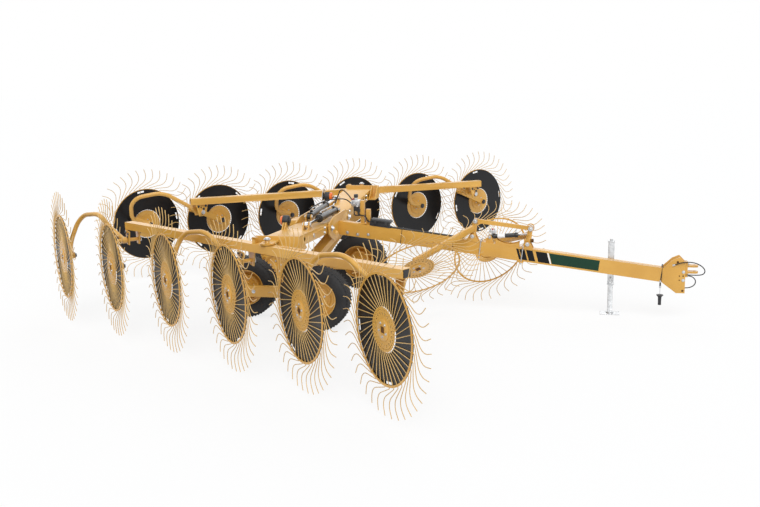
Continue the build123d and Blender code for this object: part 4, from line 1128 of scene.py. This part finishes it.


# Hitch: plate bolts, painted shade in the plate's holes, the strap with its grip, and the two hanging
# cables
def make_hitch_trim():
    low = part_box("hitch_clevis")[0]
    face_y = TONGUE_WIDTH / 2 + HITCH_CHEEK
    bolts, holes = [], []
    for way in (-1, 1):
        for up in (-0.045, 0.045):
            bolts.append(hex_bolt((low.x - 0.020, way * face_y, TONGUE_Z + up), (0, way, 0), 0.020))
            for y in (-0.038, 0.038):
                bolts.append(hex_bolt((low.x + 0.022, y, up * 1.4), AHEAD, 0.020))
        # Painted shade: dark discs on the hitch plate's sides stand for the shade in its holes.
        for back, z, size in (
            (0.022, 0, 0.008), (0.060, 0, 0.007), (0.060, -0.045, 0.007), (0.024, -0.160, 0.012),
            (0.082, 0.150, 0.012),
        ):
            spot = Vector((low.x - back, way * face_y, TONGUE_Z + z))
            holes.append(rod(spot, spot + Vector((0, way * 0.0008, 0)), size, 16))
    start, second = (Vector(point) for point in HITCH_CABLES["upper_cable"][:2])
    run = (second - start).normalized()
    bolts.append(stub(start, run, -0.010, 0.014, CABLE_R + 0.0035, 20, 0.0015))
    bolts.append(block(start + Vector((-0.004, 0.004, -0.001)), (0.022, 0.008, 0.020), 0.0015))
    finish_piece("hitch_bolts", bolts, ZINC)
    finish_piece("hitch_hole_shade", holes, HOLE_SHADE_AND_STOP_BROWN)


def make_hitch_cables():
    """Two cables that loop ahead of the hitch plate and go back to it; each is a curve carried by the
    chassis.
    """
    for name, route in HITCH_CABLES.items():
        curve = bpy.data.curves.new(name, "CURVE")
        curve.dimensions = "3D"
        line = curve.splines.new("NURBS")
        line.points.add(len(route) - 1)
        for point, place in zip(line.points, route):
            point.co = (*place, 1)
        line.order_u = 3
        line.use_endpoint_u = True
        line.resolution_u = 8
        curve.bevel_depth = CABLE_R
        curve.bevel_resolution = 4
        curve.use_fill_caps = True
        curve.materials.append(HOSE)
        cable = bpy.data.objects.new(name, curve)
        bpy.context.scene.collection.objects.link(cable)
        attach(cable, "chassis")


def make_strap():
    """The strap round the tongue behind the hitch, with the plug grip that hangs from it."""
    half, tall = TONGUE_WIDTH / 2 + 0.004, TONGUE_TOP + 0.004
    loop = ((half, -tall), (half, tall + 0.016), (-half, tall + 0.016), (-half, -tall), (half, -tall))
    corners = [on_tongue(STRAP_X, y, z) for y, z in loop]
    drop = on_tongue(STRAP_X, -half, -tall)
    band = wire(bent(corners, [0.008] * 3, 4), 0.0048, 8)
    strap = [band, stub(drop, UP, -0.002, -0.038, 0.0085, 16, 0.002)]
    finish_piece("hitch_strap", strap, PLASTIC_BLACK)
    link = [
        stub(drop, UP, 0.022, -0.002, 0.0105, 16, 0.002),
        stub(drop, UP, -0.038, -0.062, 0.0105, 16, 0.002),
        stub(drop, UP, 0, -0.145, 0.0030, 8),
    ]
    finish_piece("grip_link", link, ZINC)
    collar = [(0.0, 0.0), (0.036, 0.0), (0.037, -0.005), (0.024, -0.016), (0.0185, -0.030)]
    handle = [(0.0165, -0.088), (0.0180, -0.104), (0.0165, -0.110), (0.0, -0.111)]
    grip = moved(turned(collar + handle, 32), Matrix.Translation(drop - UP * 0.136))
    finish_piece("hanging_grip", grip, PLASTIC_BLACK)


# Jack, tool box, running gear and the carriage's small parts
def make_jack_trim():
    low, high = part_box("jack_tube")
    x, y = (low.x + high.x) / 2, (low.y + high.y) / 2
    wide = high.x - low.x
    bracket_z = on_tongue(x).z
    cap = [
        block((x, y, high.z + 0.004), (wide + 0.010, wide + 0.010, 0.012), 0.003),
        rod((x, y, high.z + 0.008), (x, y, high.z + 0.028), 0.016, 24, 0.003),
        block((x, y, low.z + 0.010), (wide + 0.008, wide + 0.008, 0.020), 0.002),
    ]
    for dz in (-0.040, 0.040):
        for dx in (-0.055, 0.055):
            cap.append(hex_bolt((x + dx, TONGUE_WIDTH / 2 + 0.0142, bracket_z + dz), (0, 1, 0), 0.020))
    cap.append(block((x, y, bracket_z), (wide + 0.012, wide + 0.012, 0.090), 0.003))
    pin = Vector((x, y, low.z + 0.075))
    cap.append(stub(pin, Vector((0, 1, 0)), -wide / 2 - 0.022, wide / 2 + 0.020, 0.008, 16, 0.001))
    centre = pin + Vector((0, -wide / 2 - 0.020, -0.022))
    turns = [math.pi * k / 8 for k in range(17)]
    cap.append(wire([centre + Vector((math.sin(a), 0, math.cos(a))) * 0.022 for a in turns], 0.0022, 6))
    finish_piece("jack_fittings", cap, ZINC)
    foot_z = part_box("jack_leg")[0].z
    socket = rod((x, y, foot_z + 0.008), (x, y, foot_z + 0.026), 0.042, 24, 0.004)
    finish_piece("jack_foot_socket", socket, ZINC, "jack_leg")


def make_tool_box_trim():
    low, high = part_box("tool_box")
    centre = on_tongue((low.x + high.x) / 2, 0, TONGUE_TOP + 0.035)
    tilt = Matrix((TONGUE_RUN, Vector((0, 1, 0)), TONGUE_RISE)).transposed().to_4x4()
    lid = [
        block((0, 0, 0.030), (0.232, 0.132, 0.020), 0.004),
        block((0, 0, 0.041), (0.190, 0.096, 0.006), 0.002),
    ]
    for x in (-0.060, 0.060):
        lid.append(block((x, -0.0665, 0.008), (0.026, 0.008, 0.040), 0.002))
        lid.append(rod((x - 0.016, 0.066, 0.022), (x + 0.016, 0.066, 0.022), 0.006, 16, 0.001))
    lid.append(block((0, 0, -0.028), (0.226, 0.112, 0.010), 0.002))
    whole = moved(joined(*lid), Matrix.Translation(centre) @ tilt)
    finish_piece("tool_box_lid", whole, PLASTIC_BLACK)


def make_running_gear_trim():
    bolts = []
    for _, way in SIDES:
        out = Vector((0, way, 0))
        end = Vector((TANDEM_X, way * TANDEM_OUT, AXLE_Z))
        bolts.append(stub(end, out, 0, 0.006, 0.044, 32, 0.001))
        bolts.append(hex_bolt(end + out * 0.006, out, 0.042, 0.020))
        for dx in (-0.32, 0.32):
            spot = Vector((TANDEM_X + dx, way * (TANDEM_Y + 0.030), AXLE_Z))
            bolts.append(hex_bolt(spot, out, 0.024))
            bolts.append(hex_bolt(spot - out * 0.060, -out, 0.024))
    finish_piece("tandem_bolts", bolts, ZINC)


def make_carriage_trim():
    """The hinge pins' ends with their bolts, and three bolts on the tongue ahead of the carriage."""
    heads = []
    for side, _ in SIDES:
        hinge = Vector(JOINTS[f"{side}_lift_hinge"]["pos_m"])
        for end in (-1, 1):
            face = Vector((CARRIAGE_X + end * HINGE_PIN_END, hinge.y, hinge.z))
            heads.append(stub(face, AHEAD * end, -0.004, 0.005, 0.034, 28, 0.001))
            heads.append(hex_bolt(face + AHEAD * (end * 0.004), AHEAD * end, 0.030))
    for dx, dz in ((0.30, -0.040), (0.42, -0.046), (0.54, -0.030)):
        heads.append(hex_bolt(on_tongue(CARRIAGE_X + dx, -TONGUE_WIDTH / 2, dz), (0, -1, 0), 0.020))
    finish_piece("carriage_bolts", heads, ZINC)


# Floor, light and camera
def seen_white(tree, lit, white):
    """Mixes two shaders so that the eye, gloss and glass see the white one."""
    path = tree.nodes.new("ShaderNodeLightPath")
    total = tree.nodes.new("ShaderNodeMath")
    total.operation = "ADD"
    tree.links.new(path.outputs["Is Camera Ray"], total.inputs[0])
    tree.links.new(path.outputs["Is Glossy Ray"], total.inputs[1])
    every = tree.nodes.new("ShaderNodeMath")
    every.operation = "ADD"
    every.use_clamp = True
    tree.links.new(total.outputs["Value"], every.inputs[0])
    tree.links.new(path.outputs["Is Transmission Ray"], every.inputs[1])
    mix = tree.nodes.new("ShaderNodeMixShader")
    tree.links.new(every.outputs["Value"], mix.inputs["Fac"])
    tree.links.new(lit, mix.inputs[1])
    tree.links.new(white, mix.inputs[2])
    return mix.outputs["Shader"]


def make_floor():
    shape = bmesh.new()
    bmesh.ops.create_grid(shape, x_segments=1, y_segments=1, size=60)
    bmesh.ops.translate(shape, vec=(-3, 0, FLOOR_Z), verts=shape.verts)
    mesh = bpy.data.meshes.new("floor")
    shape.to_mesh(mesh)
    shape.free()
    floor = bpy.data.objects.new("floor", mesh)
    bpy.context.scene.collection.objects.link(floor)
    material = bpy.data.materials.new("white studio floor")
    material.use_nodes = True
    tree = material.node_tree
    tree.nodes.clear()
    output = tree.nodes.new("ShaderNodeOutputMaterial")
    lit = tree.nodes.new("ShaderNodeBsdfDiffuse")
    lit.inputs["Color"].default_value = (FLOOR_GREY, FLOOR_GREY, FLOOR_GREY, 1)
    faint = tree.nodes.new("ShaderNodeBsdfDiffuse")
    faint.inputs["Color"].default_value = (FLOOR_FAINT, FLOOR_FAINT, FLOOR_FAINT, 1)
    glow = tree.nodes.new("ShaderNodeEmission")
    glow.inputs["Strength"].default_value = FLOOR_GLOW
    both = tree.nodes.new("ShaderNodeAddShader")
    tree.links.new(faint.outputs["BSDF"], both.inputs[0])
    tree.links.new(glow.outputs["Emission"], both.inputs[1])
    tree.links.new(seen_white(tree, lit.outputs["BSDF"], both.outputs["Shader"]), output.inputs["Surface"])
    mesh.materials.append(material)


def make_light():
    world = bpy.data.worlds.new("studio")
    bpy.context.scene.world = world
    world.use_nodes = True
    tree = world.node_tree
    tree.nodes.clear()
    output = tree.nodes.new("ShaderNodeOutputWorld")
    sky = tree.nodes.new("ShaderNodeBackground")
    sky.inputs["Color"].default_value = (0.97, 0.985, 1.0, 1)
    sky.inputs["Strength"].default_value = SKY_STRENGTH
    white = tree.nodes.new("ShaderNodeBackground")
    white.inputs["Color"].default_value = (1, 1, 1, 1)
    white.inputs["Strength"].default_value = 1.0
    tree.links.new(
        seen_white(tree, sky.outputs["Background"], white.outputs["Background"]), output.inputs["Surface"]
    )
    for name, strength, spread_angle, tilt, turn in (
        ("overhead softbox", OVERHEAD_STRENGTH, 50, 40, 14),
        ("rear softbox", REAR_STRENGTH, 60, -55, -20),
    ):
        lamp = bpy.data.lights.new(name, "SUN")
        lamp.energy = strength
        lamp.angle = math.radians(spread_angle)
        holder = bpy.data.objects.new(name, lamp)
        holder.rotation_euler = (math.radians(tilt), math.radians(turn), 0)
        bpy.context.scene.collection.objects.link(holder)


def make_camera():
    """The photograph's view: where the camera stands, and which way it looks."""
    data = bpy.data.cameras.new("photograph view")
    data.sensor_width = 36.0
    data.lens = CAMERA_LENS
    camera = bpy.data.objects.new("photograph view", data)
    yaw, pitch, roll = CAMERA_YAW, CAMERA_PITCH, CAMERA_ROLL
    look = Vector((-math.sin(yaw) * math.cos(pitch), math.cos(yaw) * math.cos(pitch), -math.sin(pitch)))
    right = Vector((math.cos(yaw), math.sin(yaw), 0))
    up = right.cross(look)
    tilted = right * math.cos(roll) + up * math.sin(roll)
    camera.matrix_world = facing(CAMERA_PLACE, -look, tilted)
    bpy.context.scene.collection.objects.link(camera)
    bpy.context.scene.camera = camera


make_camera()
make_hitch_cables()
make_light()
make_floor()
make_rake_wheels()
make_road_wheels()
finish_steelwork()
valve_at = make_masts()
make_cylinder_trim(valve_at)
make_lamps()
make_lift_arm_trim()
make_bracket_trim()
make_arm_nuts()
make_tongue_bands()
make_tongue_hoses(valve_at)
make_clamp_bolts()
make_linkage_trim()
make_hitch_trim()
make_strap()
make_jack_trim()
make_tool_box_trim()
make_running_gear_trim()
make_carriage_trim()

scene = bpy.context.scene
scene.view_settings.view_transform = "Standard"
